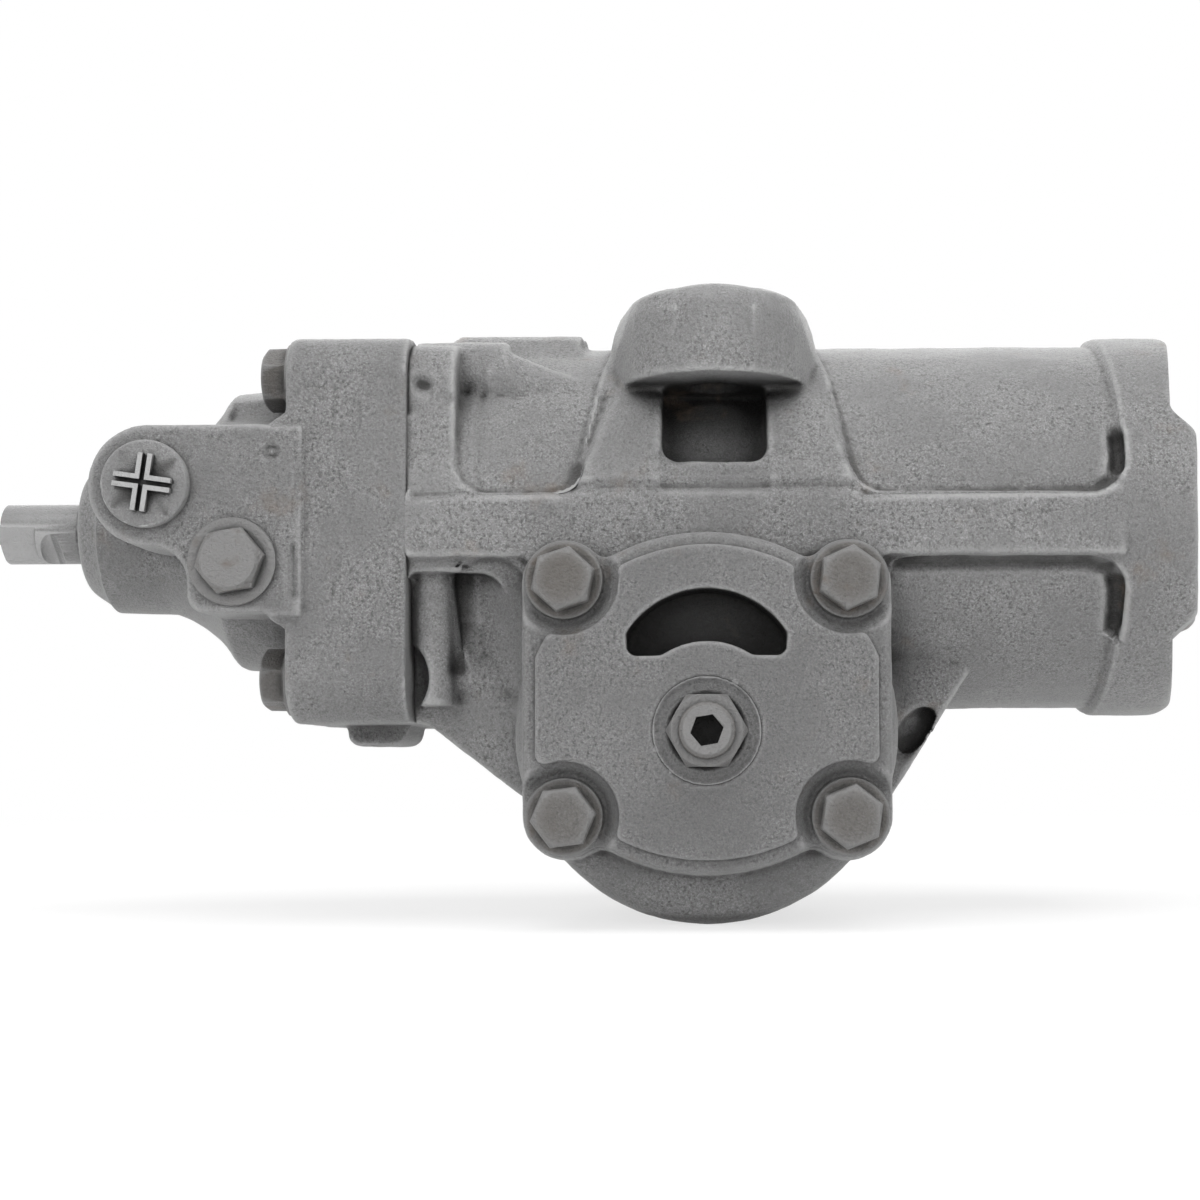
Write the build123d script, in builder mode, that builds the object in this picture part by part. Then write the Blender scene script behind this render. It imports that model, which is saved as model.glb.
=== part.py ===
from build123d import *
from math import acos, atan2, cos, pi, radians, sin, tan
import os

os.makedirs("parts", exist_ok=True)

# Frame. +X runs along the worm from the input shaft to the closed end of the cylinder,
# +Y goes from the side cover to the output shaft, +Z goes up to the mounting face.
# The origin is the axis of the front frame bolt hole, on the mounting face.
SECTOR_FROM_HOLE = 2.6
WORM_BEHIND_HOLE = 43.5
MOUNT_HEIGHT = 63.0
CENTRE_DISTANCE = 65.0

SECTOR_X = -SECTOR_FROM_HOLE
WORM_Y = WORM_BEHIND_HOLE
WORM_Z = -MOUNT_HEIGHT
SECTOR_Z = WORM_Z - CENTRE_DISTANCE
HOLE_DEPTH = -WORM_BEHIND_HOLE

# Fits, as radial or face clearances
RUN_FIT = 0.05
SEAL_FIT = 0.03
SLIDE_FIT = 0.1
THREAD_FIT = 0.1
SIDE_GAP = 0.3

# Gear housing, stations along X from the sector axis
JOINT_X = -86.5
COLLAR_X = 120.0
COLLAR_LENGTH = 26.0
END_BOSS_LENGTH = 8.5
BARREL_R = 57.0
COLLAR_R = 59.4
END_BOSS_R = 33.0
CYLINDER_R = 44.0
END_WALL = 13.0
JOINT_FLANGE = 14.0
FLANGE_INSET = 3.0

# Oil passage band along the front of the barrel, heights above the worm axis
BAND_FRONT = 60.0
BAND_TOP = 4.5
BAND_BOTTOM = -14.6
BAND_CORNER_R = 9.0

# Sector chamber
SECTOR_BODY_R = 56.0
SECTOR_BODY_FRONT = 55.0
SECTOR_BODY_BACK = 33.0
OUTPUT_BOSS_R = 31.0
OUTPUT_BOSS_BACK = 78.0

# Mounting tower and rear pads
TOWER_R = 26.8
TOWER_TOP_HALF = 28.0
TOWER_WAIST_HALF = 34.5
TOWER_EDGE_R = 6.0
TOWER_BROW = 26.0
TOWER_FOOT_LEFT = -40.0
TOWER_FOOT_RIGHT = 45.0
TOWER_CHEEK = 0.78
TOWER_CHEEK_FRONT = 46.8
TOWER_FLANK_FRONT = 30.0
FRAME_HOLE_R = 7.9
POCKET_LEFT = -12.6
POCKET_RIGHT = 17.7
POCKET_FLOOR = 13.0
POCKET_BACK = 25.0
POCKET_WALL_R = 48.6
POCKET_R = 4.5
PAD_HOLE_BACK = 28.0
PAD_BACK = 50.0
LEFT_PAD_X = -60.0
LEFT_PAD_WIDTH = 44.0
LEFT_PAD_FRONT = 0.0
RIGHT_PAD_X = 65.0
RIGHT_PAD_WIDTH = 40.0
RIGHT_PAD_FRONT = 23.0
PAD_HOLE_LENGTH = 20.0

# Side cover, heights measured from the sector axis
COVER_JOINT = 60.0
COVER_FLANGE = 10.0
COVER_PLATEAU = 6.0
COVER_BOLT_X = 40.0
COVER_BOLT_TOP = 42.4
COVER_BOLT_LOW = -23.9
COVER_LOBE_R = 11.8
COVER_BROW_R = 56.0
COVER_BELLY_R = 58.0
COVER_BELLY_RISE = 18.0
COVER_WAVE_R = 5.0
KIDNEY_OUTER_R = 26.3
KIDNEY_OUTER_RISE = 13.4
KIDNEY_INNER_R = 21.8
KIDNEY_INNER_RISE = 3.2
KIDNEY_LOW = 20.9
KIDNEY_DEPTH = 14.0
KIDNEY_END_R = 5.2
ADJUSTER_RECESS_R = 15.2
ADJUSTER_RECESS = 3.0
COVER_HUB_R = 25.0
COVER_BOLT_R = 5.0
COVER_BOLT_GRIP = 13.0

# Valve housing
BLOCK_LENGTH = 39.5
BLOCK_HEIGHT = 113.0
BLOCK_DROP = 3.4
BLOCK_FRONT = 60.0
BLOCK_BACK = 52.0
BLOCK_CORNER_R = 13.0
VALVE_BOLT_Y = 35.0
VALVE_BOLT_EDGE = 11.2
VALVE_BOLT_Z = BLOCK_HEIGHT / 2 - VALVE_BOLT_EDGE
VALVE_BOLT_R = 5.0
VALVE_BOLT_GRIP = 11.0
NOSE_TIP_X = -196.0
NOSE_BASE_X = -169.0
NOSE_R = 26.0
CONE_BASE_X = -147.0
CONE_R = 44.0
PORT_FACE = 62.0
PORT_BLOCK_BACK = 34.0
PRESSURE_X = -160.8
PRESSURE_Z = 6.6
PRESSURE_LOBE_R = 17.6
RETURN_X = -135.8
RETURN_Z = -15.9
PORT_BLOCK_RIGHT = -116.0
PORT_BLOCK_BOTTOM = -30.4
RETURN_LOBE_LEFT = 13.4
PORT_NECK_R = 11.0
PORT_CORNER_R = 5.0
PORT_BORE_R = 8.0
PORT_BORE_DEPTH = 15.0
PORT_DRILL_R = 3.6
PORT_HEAD_R = 12.65

# Power train on the worm axis
INPUT_R = 9.525
INPUT_JOURNAL_R = 10.0
INPUT_TIP_X = -225.5
INPUT_STEP_X = -199.0
TORSION_R = 3.2
LEAD = 4 * pi
BALL_R = 3.572
BALL_CIRCLE_R = 13.4
WORM_R = 12.5
NUT_R = 14.6
CIRCUIT_TURNS = 2.5
GROOVE_START_X = -82.5
GROOVE_TURNS = 8
CIRCUIT_LEAD_IN = 3
GROOVE_FIT = 0.12
PISTON_LEFT = -53.0
PISTON_RIGHT = 100.0
PISTON_FIT = 0.1
VALVE_BORE_R = 22.0
THRUST_SEAT_X = -113.0
THRUST_FLANGE = 6.0
THRUST_R = 30.0
THRUST_STACK = 4.0
THRUST_PLAY = 0.06
RACE_NUT_R = 34.0

# Rack and sector gearing
MODULE = 8.0
SECTOR_TEETH_PER_TURN = 8
PRESSURE_ANGLE = 28.0
ADDENDUM = 0.7 * MODULE
DEDENDUM = 0.86 * MODULE
BACKLASH = 0.3
FACE_WIDTH = 40.0

# Sector shaft, stations along Y from the worm axis
JOURNAL_R = 16.0
REAR_JOURNAL_R = 17.5
SECTOR_CAVITY_R = 38.4
SHAFT_FRONT = 56.0
SPLINE_R = 16.5
SPLINE_START = 82.0
SPLINE_LENGTH = 31.0
SPLINE_TEETH = 36
STUD_R = 12.0
STUD_LENGTH = 26.0
ADJUSTER_R = 7.8

PITCH_R = MODULE * SECTOR_TEETH_PER_TURN / 2
RACK_PITCH_Z = -(CENTRE_DISTANCE - PITCH_R)
TOOTH_PITCH = pi * MODULE
COLLAR_END_X = COLLAR_X + COLLAR_LENGTH
BLOCK_LEFT_X = JOINT_X - BLOCK_LENGTH
BROW_UNDERSIDE = MOUNT_HEIGHT - TOWER_BROW
COVER_FACE = COVER_JOINT + COVER_FLANGE
PLATEAU_FACE = COVER_FACE + COVER_PLATEAU
COVER_SIDE = COVER_BOLT_X + COVER_LOBE_R

WORM_AXIS = Axis((SECTOR_X, WORM_Y, WORM_Z), (1, 0, 0))
SECTOR_AXIS = Axis((SECTOR_X, WORM_Y, SECTOR_Z), (0, 1, 0))
WORM_SECTION = Plane(origin=(SECTOR_X, WORM_Y, WORM_Z), x_dir=(1, 0, 0), z_dir=(0, -1, 0))
SECTOR_SECTION = Plane(origin=(SECTOR_X, WORM_Y, SECTOR_Z), x_dir=(0, 1, 0), z_dir=(1, 0, 0))


def across(x):
    """Plane square to the worm axis at station x, with +Y and +Z as its own directions."""
    return Plane(origin=(SECTOR_X + x, WORM_Y, WORM_Z), x_dir=(0, 1, 0), z_dir=(1, 0, 0))


def facing(front, height=WORM_Z):
    """Plane that looks forwards, a distance in front of the worm axis, with +X and +Z as its own."""
    return Plane(origin=(SECTOR_X, WORM_Y - front, height), x_dir=(1, 0, 0), z_dir=(0, -1, 0))


def level(height):
    """Horizontal plane at a height above the worm axis, with +X and +Y as its own."""
    return Plane(origin=(SECTOR_X, WORM_Y, WORM_Z + height))


def turned(plane, axis, steps):
    """Solid of revolution from (start, end, radius) steps along the plane's first direction."""
    with BuildPart() as body:
        with BuildSketch(plane):
            for start, end, radius in steps:
                with Locations(((start + end) / 2, radius / 2)):
                    Rectangle(end - start, radius)
        revolve(axis=axis)
    return body.part


def ring(plane, outer, inner, length):
    """Plain ring that stands on a plane."""
    with BuildPart() as body:
        with BuildSketch(plane):
            Circle(outer)
            Circle(inner, mode=Mode.SUBTRACT)
        extrude(amount=length)
    return body.part


def rod(plane, radius, length):
    """Plain rod that stands on a plane."""
    with BuildPart() as body:
        with BuildSketch(plane):
            Circle(radius)
        extrude(amount=length)
    return body.part


def hex_bolt(flats, head, flange_r, flange, shank_r, shank):
    """Flanged hex bolt that stands on the XY plane, head up, with a chamfered crown."""
    corner_r = flats / 2 / cos(radians(30))
    crown_r = 0.45 * flats
    with BuildPart() as body:
        with BuildSketch():
            RegularPolygon(flats / 2, 6, major_radius=False)
        extrude(amount=head)
        with BuildSketch(Plane.XZ):
            with BuildLine():
                Polyline((0, 0), (corner_r, 0), (corner_r, head - corner_r + crown_r), (crown_r, head), (0, head),
                         close=True)
            make_face()
        revolve(axis=Axis.Z, mode=Mode.INTERSECT)
        with BuildSketch():
            Circle(flange_r)
        extrude(amount=flange)
        with BuildSketch():
            Circle(shank_r)
        extrude(amount=-shank)
    return body.part


def needle_bearing(plane, shaft_r, housing_r, length, roller_r, count):
    """Drawn cup with loose rollers on a ring round the shaft."""
    pitch_r = shaft_r + RUN_FIT + roller_r
    track_r = pitch_r + roller_r + RUN_FIT
    with BuildPart() as body:
        add(ring(plane, housing_r, track_r, length))
        with BuildSketch(plane.offset(SIDE_GAP)):
            with PolarLocations(pitch_r, count):
                Circle(roller_r)
        extrude(amount=length - 2 * SIDE_GAP)
    return body.part


# Outlines


def block_outline(inset=0.0):
    """Valve housing block seen along the worm axis."""
    with BuildSketch() as outline:
        with Locations(((BLOCK_BACK - BLOCK_FRONT) / 2, -BLOCK_DROP)):
            RectangleRounded(BLOCK_FRONT + BLOCK_BACK - 2 * inset, BLOCK_HEIGHT - 2 * inset, BLOCK_CORNER_R)
    return outline.sketch


def cover_outline(grow=0.0):
    """Side cover seen from the front: four bolt lobes, an upper brow and a lower belly."""
    lobe_r = COVER_LOBE_R + grow
    with BuildSketch() as outline:
        with Locations((0, (COVER_BOLT_TOP + COVER_BOLT_LOW) / 2)):
            Rectangle(2 * (COVER_SIDE + grow), COVER_BOLT_TOP - COVER_BOLT_LOW)
        with Locations(*cover_bolt_places()):
            Circle(lobe_r)
        with BuildSketch(mode=Mode.PRIVATE) as brow:
            Circle(COVER_BROW_R + grow)
            with Locations((0, -COVER_BROW_R)):
                Rectangle(4 * COVER_BROW_R, 2 * COVER_BROW_R, mode=Mode.SUBTRACT)
            with Locations((0, COVER_BROW_R)):
                Rectangle(2 * COVER_BOLT_X, 4 * COVER_BROW_R, mode=Mode.INTERSECT)
        add(brow.sketch)
        with BuildSketch(mode=Mode.PRIVATE) as belly:
            with Locations((0, COVER_BELLY_RISE)):
                Circle(COVER_BELLY_R + grow)
            with Locations((0, COVER_BELLY_R)):
                Rectangle(4 * COVER_BELLY_R, 2 * COVER_BELLY_R, mode=Mode.SUBTRACT)
            Rectangle(2 * COVER_BOLT_X, 4 * COVER_BELLY_R, mode=Mode.INTERSECT)
        add(belly.sketch)
        waves = [v for v in outline.vertices() if abs(v.X) < COVER_BOLT_X - 1]
        fillet(waves, radius=COVER_WAVE_R)
    return outline.sketch


def cover_bolt_places():
    """Cover bolt axes from the sector axis: top left, top right, bottom left, bottom right."""
    return [(side * COVER_BOLT_X, height) for height in (COVER_BOLT_TOP, COVER_BOLT_LOW) for side in (-1, 1)]


def valve_bolt_places():
    """Valve housing bolt axes from the worm axis, seen along it."""
    return [(side * VALVE_BOLT_Y, -BLOCK_DROP + end * VALVE_BOLT_Z) for side in (-1, 1) for end in (-1, 1)]


def sector_tooth():
    """One involute tooth of the sector, pointing up, with its foot in the hub."""
    base_r = PITCH_R * cos(radians(PRESSURE_ANGLE))
    tip_r = PITCH_R + ADDENDUM
    root_r = PITCH_R - DEDENDUM
    half = (TOOTH_PITCH / 2 - BACKLASH / 2) / 2 / PITCH_R

    def involute(angle):
        return tan(angle) - angle

    def flank(radius, side):
        angle = half + involute(radians(PRESSURE_ANGLE)) - involute(acos(min(1.0, base_r / radius)))
        return (side * radius * sin(angle), radius * cos(angle))

    steps = 5
    radii = [base_r + (tip_r - base_r) * i / (steps - 1) for i in range(steps)]
    foot_angle = half + involute(radians(PRESSURE_ANGLE))
    foot = [(side * (root_r - 2) * sin(foot_angle), (root_r - 2) * cos(foot_angle)) for side in (-1, 1)]
    left = [flank(r, -1) for r in radii]
    right = [flank(r, 1) for r in radii]
    with BuildSketch() as tooth:
        with BuildLine():
            Line(foot[0], left[0])
            Spline(*left)
            ThreePointArc(left[-1], (0, tip_r), right[-1])
            Spline(*right)
            Line(right[0], foot[1])
            Line(foot[1], foot[0])
        make_face()
    return tooth.sketch


def ball_line(first_turn, turns):
    """Helical centre line of the balls, from a whole turn of the groove."""
    start = (SECTOR_X + GROOVE_START_X + first_turn * LEAD, WORM_Y, WORM_Z)
    return Helix(LEAD, turns * LEAD, BALL_CIRCLE_R, center=start, direction=(1, 0, 0))


def ball_groove(first_turn, turns):
    """Round helical groove in which the balls run."""
    with BuildPart() as groove:
        with BuildLine() as path:
            add(ball_line(first_turn, turns))
        with BuildSketch(path.line ^ 0):
            Circle(BALL_R + GROOVE_FIT)
        sweep(path=path.line, is_frenet=True)
    return groove.part


# Gear housing, one iron casting
OUTPUT_WALL_Y = FACE_WIDTH / 2 + 1.0
OUTPUT_BEARING_Y = OUTPUT_WALL_Y + 5.0
OUTPUT_BEARING_LENGTH = 28.0
OUTPUT_BEARING_R = 23.0
OUTPUT_SEAL_R = 25.0
OUTPUT_SEAL_Y = OUTPUT_BEARING_Y + OUTPUT_BEARING_LENGTH
OUTPUT_SEAL_LENGTH = 9.0
OUTPUT_DUST_LENGTH = 5.0
SNAP_RING = 1.6
SNAP_GROOVE = 1.6
OUTPUT_SNAP_Y = OUTPUT_SEAL_Y + OUTPUT_SEAL_LENGTH + OUTPUT_DUST_LENGTH
WEB_FRONT = 36.0
WEB_BACK = 28.0
WEB_RIGHT = ((78, -48), (50, -92))
WEB_LEFT = ((-46, -92), (-66, -70), (-86, -62))
WEB_RIB_R = 2.6
WEB_RIB = ((-78, -43), (-62, -61))
CORE_PIT = (62, -64)
CORE_PIT_R = (6.5, 4.2)
CORE_PIT_TILT = 50.0
CORE_PIT_DEPTH = 3.0
HOLLOW_RIGHT = -58.0
HOLLOW_TOP = -18.5
HOLLOW_BOTTOM = -57.0
HOLLOW_BACK = 47.0
HOLLOW_R = 9.0
CHEEK_FRONT = ((52, -14), (50.5, -20), (46.6, -50), (42, -62))
CHEEK_RIGHT = -50.0
VALLEY = ((-67, 56, -12), (-60, 50, -58))
VALLEY_R = 9.0
COLUMN_X = -80.0
COLUMN_R = 6.3
COLUMN_FRONT = 53.5
COLUMN_TOP = -16.4
SLOT_HEIGHT = 19.0
SLOT_MIDDLE = -49.0
SLOT_WIDTH = 5.6
SLOT_BACK = 43.0
OIL_DRILL_R = 3.5


def barrel():
    """Cylinder barrel with its collar, crowned closed end and shallow end boss."""
    with BuildPart() as body:
        add(turned(WORM_SECTION, WORM_AXIS, [
            (JOINT_X, COLLAR_X, BARREL_R),
            (COLLAR_X, COLLAR_END_X, COLLAR_R),
            (COLLAR_END_X, COLLAR_END_X + END_BOSS_LENGTH, END_BOSS_R),
        ]))
        ends = body.edges().filter_by(GeomType.CIRCLE).sort_by(Axis.X)
        fillet(ends[-1], radius=END_BOSS_LENGTH / 2)
        rim = body.edges().filter_by(GeomType.CIRCLE).filter_by(lambda e: abs(e.radius - COLLAR_R) < 0.01)
        fillet(rim.sort_by(Axis.X)[-1], radius=COLLAR_LENGTH / 4)
        fillet(rim.sort_by(Axis.X)[0], radius=(COLLAR_R - BARREL_R) * 0.8)
    return body.part


def raised_front():
    """Band of the oil passage and the raised walls that frame the recesses above and below it."""
    reach = 2 * COLLAR_R
    uprights = [
        (JOINT_X, JOINT_X + JOINT_FLANGE, reach, reach),
        (-COVER_SIDE, COVER_SIDE, 0, reach),
        (COLLAR_X, COLLAR_END_X - COLLAR_LENGTH / 2, reach, reach),
    ]
    band_height = BAND_TOP - BAND_BOTTOM
    band_centre = ((JOINT_X + COLLAR_X) / 2, (BAND_TOP + BAND_BOTTOM) / 2)
    with BuildPart() as body:
        with BuildSketch(facing(0)):
            with Locations(band_centre):
                Rectangle(COLLAR_X - JOINT_X, band_height)
            for left, right, up, down in uprights:
                with Locations(((left + right) / 2, (up - down) / 2)):
                    Rectangle(right - left, up + down)
            with BuildLine():
                Polyline(
                    (TOWER_FOOT_LEFT, 0), (TOWER_FOOT_RIGHT, 0),
                    (SECTOR_FROM_HOLE + TOWER_WAIST_HALF, BROW_UNDERSIDE),
                    (SECTOR_FROM_HOLE + TOWER_TOP_HALF, MOUNT_HEIGHT),
                    (SECTOR_FROM_HOLE - TOWER_TOP_HALF, MOUNT_HEIGHT),
                    (SECTOR_FROM_HOLE - TOWER_WAIST_HALF, BROW_UNDERSIDE),
                    close=True,
                )
            make_face()
            corners = vertices().filter_by_position(Axis.Y, BAND_BOTTOM - 0.1, BAND_TOP + 0.1)
            fillet([v for v in corners if abs(v.Y) > 0.5 and JOINT_X + 1 < v.X < COLLAR_X + 1], radius=BAND_CORNER_R)
        extrude(amount=BAND_FRONT)
        with BuildSketch(across(JOINT_X)):
            Circle(COLLAR_R)
        extrude(amount=COLLAR_END_X - JOINT_X, mode=Mode.INTERSECT)
        with BuildSketch(facing(0)):
            with Locations(band_centre):
                Rectangle(COLLAR_X - JOINT_X, band_height)
        extrude(amount=BAND_FRONT)
    return body.part


def sector_body():
    """Round sector chamber with the cover flange in front and the output boss behind."""
    with BuildPart() as body:
        with BuildSketch(facing(SECTOR_BODY_FRONT, SECTOR_Z)):
            Circle(SECTOR_BODY_R)
        extrude(amount=-(SECTOR_BODY_FRONT + SECTOR_BODY_BACK))
        rims = body.edges().filter_by(GeomType.CIRCLE).sort_by(Axis.Y)
        fillet([rims[0], rims[-1]], radius=8)
        with BuildSketch(facing(-SECTOR_BODY_BACK + 6, SECTOR_Z)):
            Circle(OUTPUT_BOSS_R + 8)
        with BuildSketch(facing(-OUTPUT_BOSS_BACK, SECTOR_Z)):
            Circle(OUTPUT_BOSS_R)
        loft()
        with BuildSketch(facing(COVER_JOINT, SECTOR_Z)):
            add(cover_outline(1.2))
        extrude(amount=-COVER_BOLT_GRIP)
        with BuildSketch(facing(COVER_JOINT, SECTOR_Z)):
            with Locations(*cover_bolt_places()):
                Circle(COVER_LOBE_R + 1.2)
        extrude(amount=-2 * COVER_BOLT_GRIP)
    return body.part


def webs():
    """Cast webs that run from the barrel down to the sector chamber, with a rib on the left one."""
    rib_start, rib_end = (Vector(x, -WEB_FRONT + WEB_RIB_R / 3, z) for x, z in WEB_RIB)
    worm_origin = Vector(SECTOR_X, WORM_Y, WORM_Z)
    with BuildPart() as body:
        with BuildSketch(facing(WEB_FRONT)):
            with BuildLine():
                Line(WEB_RIGHT[0], WEB_RIGHT[1])
                Line(WEB_RIGHT[1], WEB_LEFT[0])
                ThreePointArc(*WEB_LEFT)
                Line(WEB_LEFT[-1], (WEB_LEFT[-1][0], -40))
                Line((WEB_LEFT[-1][0], -40), (WEB_RIGHT[0][0], -40))
                Line((WEB_RIGHT[0][0], -40), WEB_RIGHT[0])
            make_face()
        extrude(amount=-(WEB_FRONT + WEB_BACK))
        rib_plane = Plane(origin=worm_origin + rib_start, z_dir=rib_end - rib_start)
        add(rod(rib_plane, WEB_RIB_R, (rib_end - rib_start).length))
        # Rough pit left by a core in the right web
        with BuildSketch(facing(WEB_FRONT)):
            with Locations(Location((*CORE_PIT, 0), (0, 0, CORE_PIT_TILT))):
                Ellipse(*CORE_PIT_R)
        extrude(amount=-CORE_PIT_DEPTH, mode=Mode.SUBTRACT)
    return body.part


def hollow():
    """Hollow below the band next to the valve housing joint, round the lower bolt column."""
    with BuildPart() as body:
        with BuildSketch(facing(HOLLOW_BACK)):
            with Locations(((JOINT_X + HOLLOW_RIGHT) / 2, (HOLLOW_TOP + HOLLOW_BOTTOM) / 2)):
                RectangleRounded(HOLLOW_RIGHT - JOINT_X, HOLLOW_TOP - HOLLOW_BOTTOM, HOLLOW_R)
            with Locations((JOINT_X + HOLLOW_R / 2, (HOLLOW_TOP + HOLLOW_BOTTOM) / 2)):
                RectangleRounded(HOLLOW_R, HOLLOW_TOP - HOLLOW_BOTTOM, HOLLOW_R / 3)
        extrude(amount=BARREL_R)
    return body.part


def column():
    """Rounded column that carries the lower front bolt of the valve housing."""
    column_y = -(COLUMN_FRONT - COLUMN_R)
    with BuildPart() as body:
        with BuildSketch(level(COLUMN_TOP)):
            with Locations((COLUMN_X, column_y)):
                Circle(COLUMN_R)
        extrude(amount=HOLLOW_BOTTOM - COLUMN_TOP)
        fillet(body.faces().sort_by(Axis.Z)[-1].edges(), radius=COLUMN_R * 0.8)
    return body.part


def cheek():
    """Sloping wall in the hollow that covers the lower bolt boss, with a round valley down it."""
    top, foot = (Vector(SECTOR_X + x, WORM_Y - front, WORM_Z + height) for x, front, height in VALLEY)
    with BuildPart() as body:
        with BuildSketch(across(JOINT_X)):
            with BuildLine():
                Polyline((0, CHEEK_FRONT[0][1]), *[(-front, height) for front, height in CHEEK_FRONT],
                         (0, CHEEK_FRONT[-1][1]), close=True)
            make_face()
        extrude(amount=CHEEK_RIGHT - JOINT_X)
        add(rod(Plane(origin=top, z_dir=foot - top), VALLEY_R, (foot - top).length), mode=Mode.SUBTRACT)
    return body.part


def tower():
    """Mounting tower with flanks that lean in and a convex front that overhangs the pocket."""
    tip = TOWER_R - HOLE_DEPTH
    with BuildPart() as body:
        for height, half in ((BROW_UNDERSIDE, TOWER_WAIST_HALF), (MOUNT_HEIGHT, TOWER_TOP_HALF)):
            with BuildSketch(level(height)):
                with BuildLine(Location((SECTOR_FROM_HOLE, 0))):
                    front = Spline(
                        (-half, -TOWER_FLANK_FRONT), (-TOWER_CHEEK * half, -TOWER_CHEEK_FRONT), (0, -tip),
                        (TOWER_CHEEK * half, -TOWER_CHEEK_FRONT), (half, -TOWER_FLANK_FRONT),
                        tangents=((0, -1), (0, 1)),
                    )
                    Polyline(front @ 1, (half, BARREL_R / 4), (-half, BARREL_R / 4), front @ 0)
                make_face()
        loft()
        fillet(body.faces().sort_by(Axis.Z)[-1].edges(), radius=TOWER_EDGE_R)
    return body.part


def pocket():
    """Pocket below the front frame bolt, with its back wall round the cylinder."""
    with BuildPart() as body:
        with BuildSketch(facing(POCKET_BACK)):
            with Locations(((POCKET_LEFT + POCKET_RIGHT) / 2, (POCKET_FLOOR + BROW_UNDERSIDE) / 2)):
                Rectangle(POCKET_RIGHT - POCKET_LEFT, BROW_UNDERSIDE - POCKET_FLOOR)
            fillet(vertices().group_by(Axis.Y)[0], radius=POCKET_R)
        extrude(amount=2 * TOWER_R)
        add(rod(across(2 * POCKET_LEFT), POCKET_WALL_R, 2 * (POCKET_RIGHT - 2 * POCKET_LEFT)), mode=Mode.SUBTRACT)
    return body.part


def pads():
    """Two mounting pads behind the tower, level with its top."""
    with BuildPart() as body:
        with BuildSketch(level(MOUNT_HEIGHT)):
            for middle, width, front in (
                (LEFT_PAD_X, LEFT_PAD_WIDTH, LEFT_PAD_FRONT),
                (RIGHT_PAD_X, RIGHT_PAD_WIDTH, RIGHT_PAD_FRONT),
            ):
                with Locations((middle, (front + PAD_BACK) / 2)):
                    RectangleRounded(width, PAD_BACK - front, 8)
        extrude(amount=-BARREL_R * 0.75)
    return body.part


with BuildPart() as gear_housing:
    add(barrel())
    add(raised_front())
    with BuildSketch(across(JOINT_X)):
        add(block_outline(FLANGE_INSET))
    extrude(amount=JOINT_FLANGE)
    with BuildSketch(across(JOINT_X)):
        with Locations(*valve_bolt_places()):
            Circle(2.2 * VALVE_BOLT_R)
    extrude(amount=2 * JOINT_FLANGE)
    add(sector_body())
    add(webs())
    add(tower())
    add(pads())
    add(hollow(), mode=Mode.SUBTRACT)
    add(cheek())
    add(column())
    with BuildSketch(facing(SLOT_BACK)):
        with Locations((JOINT_X, SLOT_MIDDLE)):
            Ellipse(SLOT_WIDTH, SLOT_HEIGHT / 2)
    extrude(amount=BARREL_R, mode=Mode.SUBTRACT)
    # Cylinder bore, sector chamber and output bores
    add(rod(across(JOINT_X), CYLINDER_R, COLLAR_END_X - END_WALL - JOINT_X), mode=Mode.SUBTRACT)
    add(rod(facing(COVER_JOINT, SECTOR_Z), SECTOR_CAVITY_R, -(COVER_JOINT + OUTPUT_WALL_Y)), mode=Mode.SUBTRACT)
    add(turned(SECTOR_SECTION, SECTOR_AXIS, [
        (0, OUTPUT_BEARING_Y, REAR_JOURNAL_R + SIDE_GAP),
        (OUTPUT_BEARING_Y, OUTPUT_SEAL_Y, OUTPUT_BEARING_R + SLIDE_FIT),
        (OUTPUT_SEAL_Y, OUTPUT_BOSS_BACK, OUTPUT_SEAL_R + SLIDE_FIT),
        (OUTPUT_SNAP_Y, OUTPUT_SNAP_Y + SNAP_RING + SLIDE_FIT, OUTPUT_SEAL_R + SNAP_GROOVE),
    ]), mode=Mode.SUBTRACT)
    # Front frame bolt hole and the pocket below it
    add(rod(level(BROW_UNDERSIDE), FRAME_HOLE_R, TOWER_BROW).moved(Pos(SECTOR_FROM_HOLE, HOLE_DEPTH)),
        mode=Mode.SUBTRACT)
    add(pocket(), mode=Mode.SUBTRACT)
    # Rear frame bolt holes
    with BuildSketch(level(MOUNT_HEIGHT)):
        with Locations((LEFT_PAD_X, PAD_HOLE_BACK), (RIGHT_PAD_X, PAD_HOLE_BACK)):
            Circle(FRAME_HOLE_R)
    extrude(amount=-PAD_HOLE_LENGTH, mode=Mode.SUBTRACT)
    # Threads for the cover and valve housing bolts
    with BuildSketch(facing(COVER_JOINT, SECTOR_Z)):
        with Locations(*cover_bolt_places()):
            Circle(COVER_BOLT_R + THREAD_FIT)
    extrude(amount=-COVER_BOLT_GRIP, mode=Mode.SUBTRACT)
    with BuildSketch(across(JOINT_X)):
        with Locations(*valve_bolt_places()):
            Circle(VALVE_BOLT_R + THREAD_FIT)
    extrude(amount=1.5 * JOINT_FLANGE, mode=Mode.SUBTRACT)
    # Oil passage through the band to the closed end of the cylinder
    passage_z = (BAND_TOP + BAND_BOTTOM) / 2
    passage_y = -(BAND_FRONT + CYLINDER_R) / 2
    passage_end = COLLAR_END_X - END_WALL - 2 * OIL_DRILL_R
    add(rod(across(JOINT_X), OIL_DRILL_R, passage_end - JOINT_X).moved(Pos(0, passage_y, passage_z)),
        mode=Mode.SUBTRACT)
    add(rod(facing(-passage_y), OIL_DRILL_R, -2 * OIL_DRILL_R - 2)
        .moved(Pos(passage_end - OIL_DRILL_R, 0, passage_z)), mode=Mode.SUBTRACT)
gear_housing.part.label = "gear_housing"
export_step(gear_housing.part, "parts/gear_housing.step")

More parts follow.
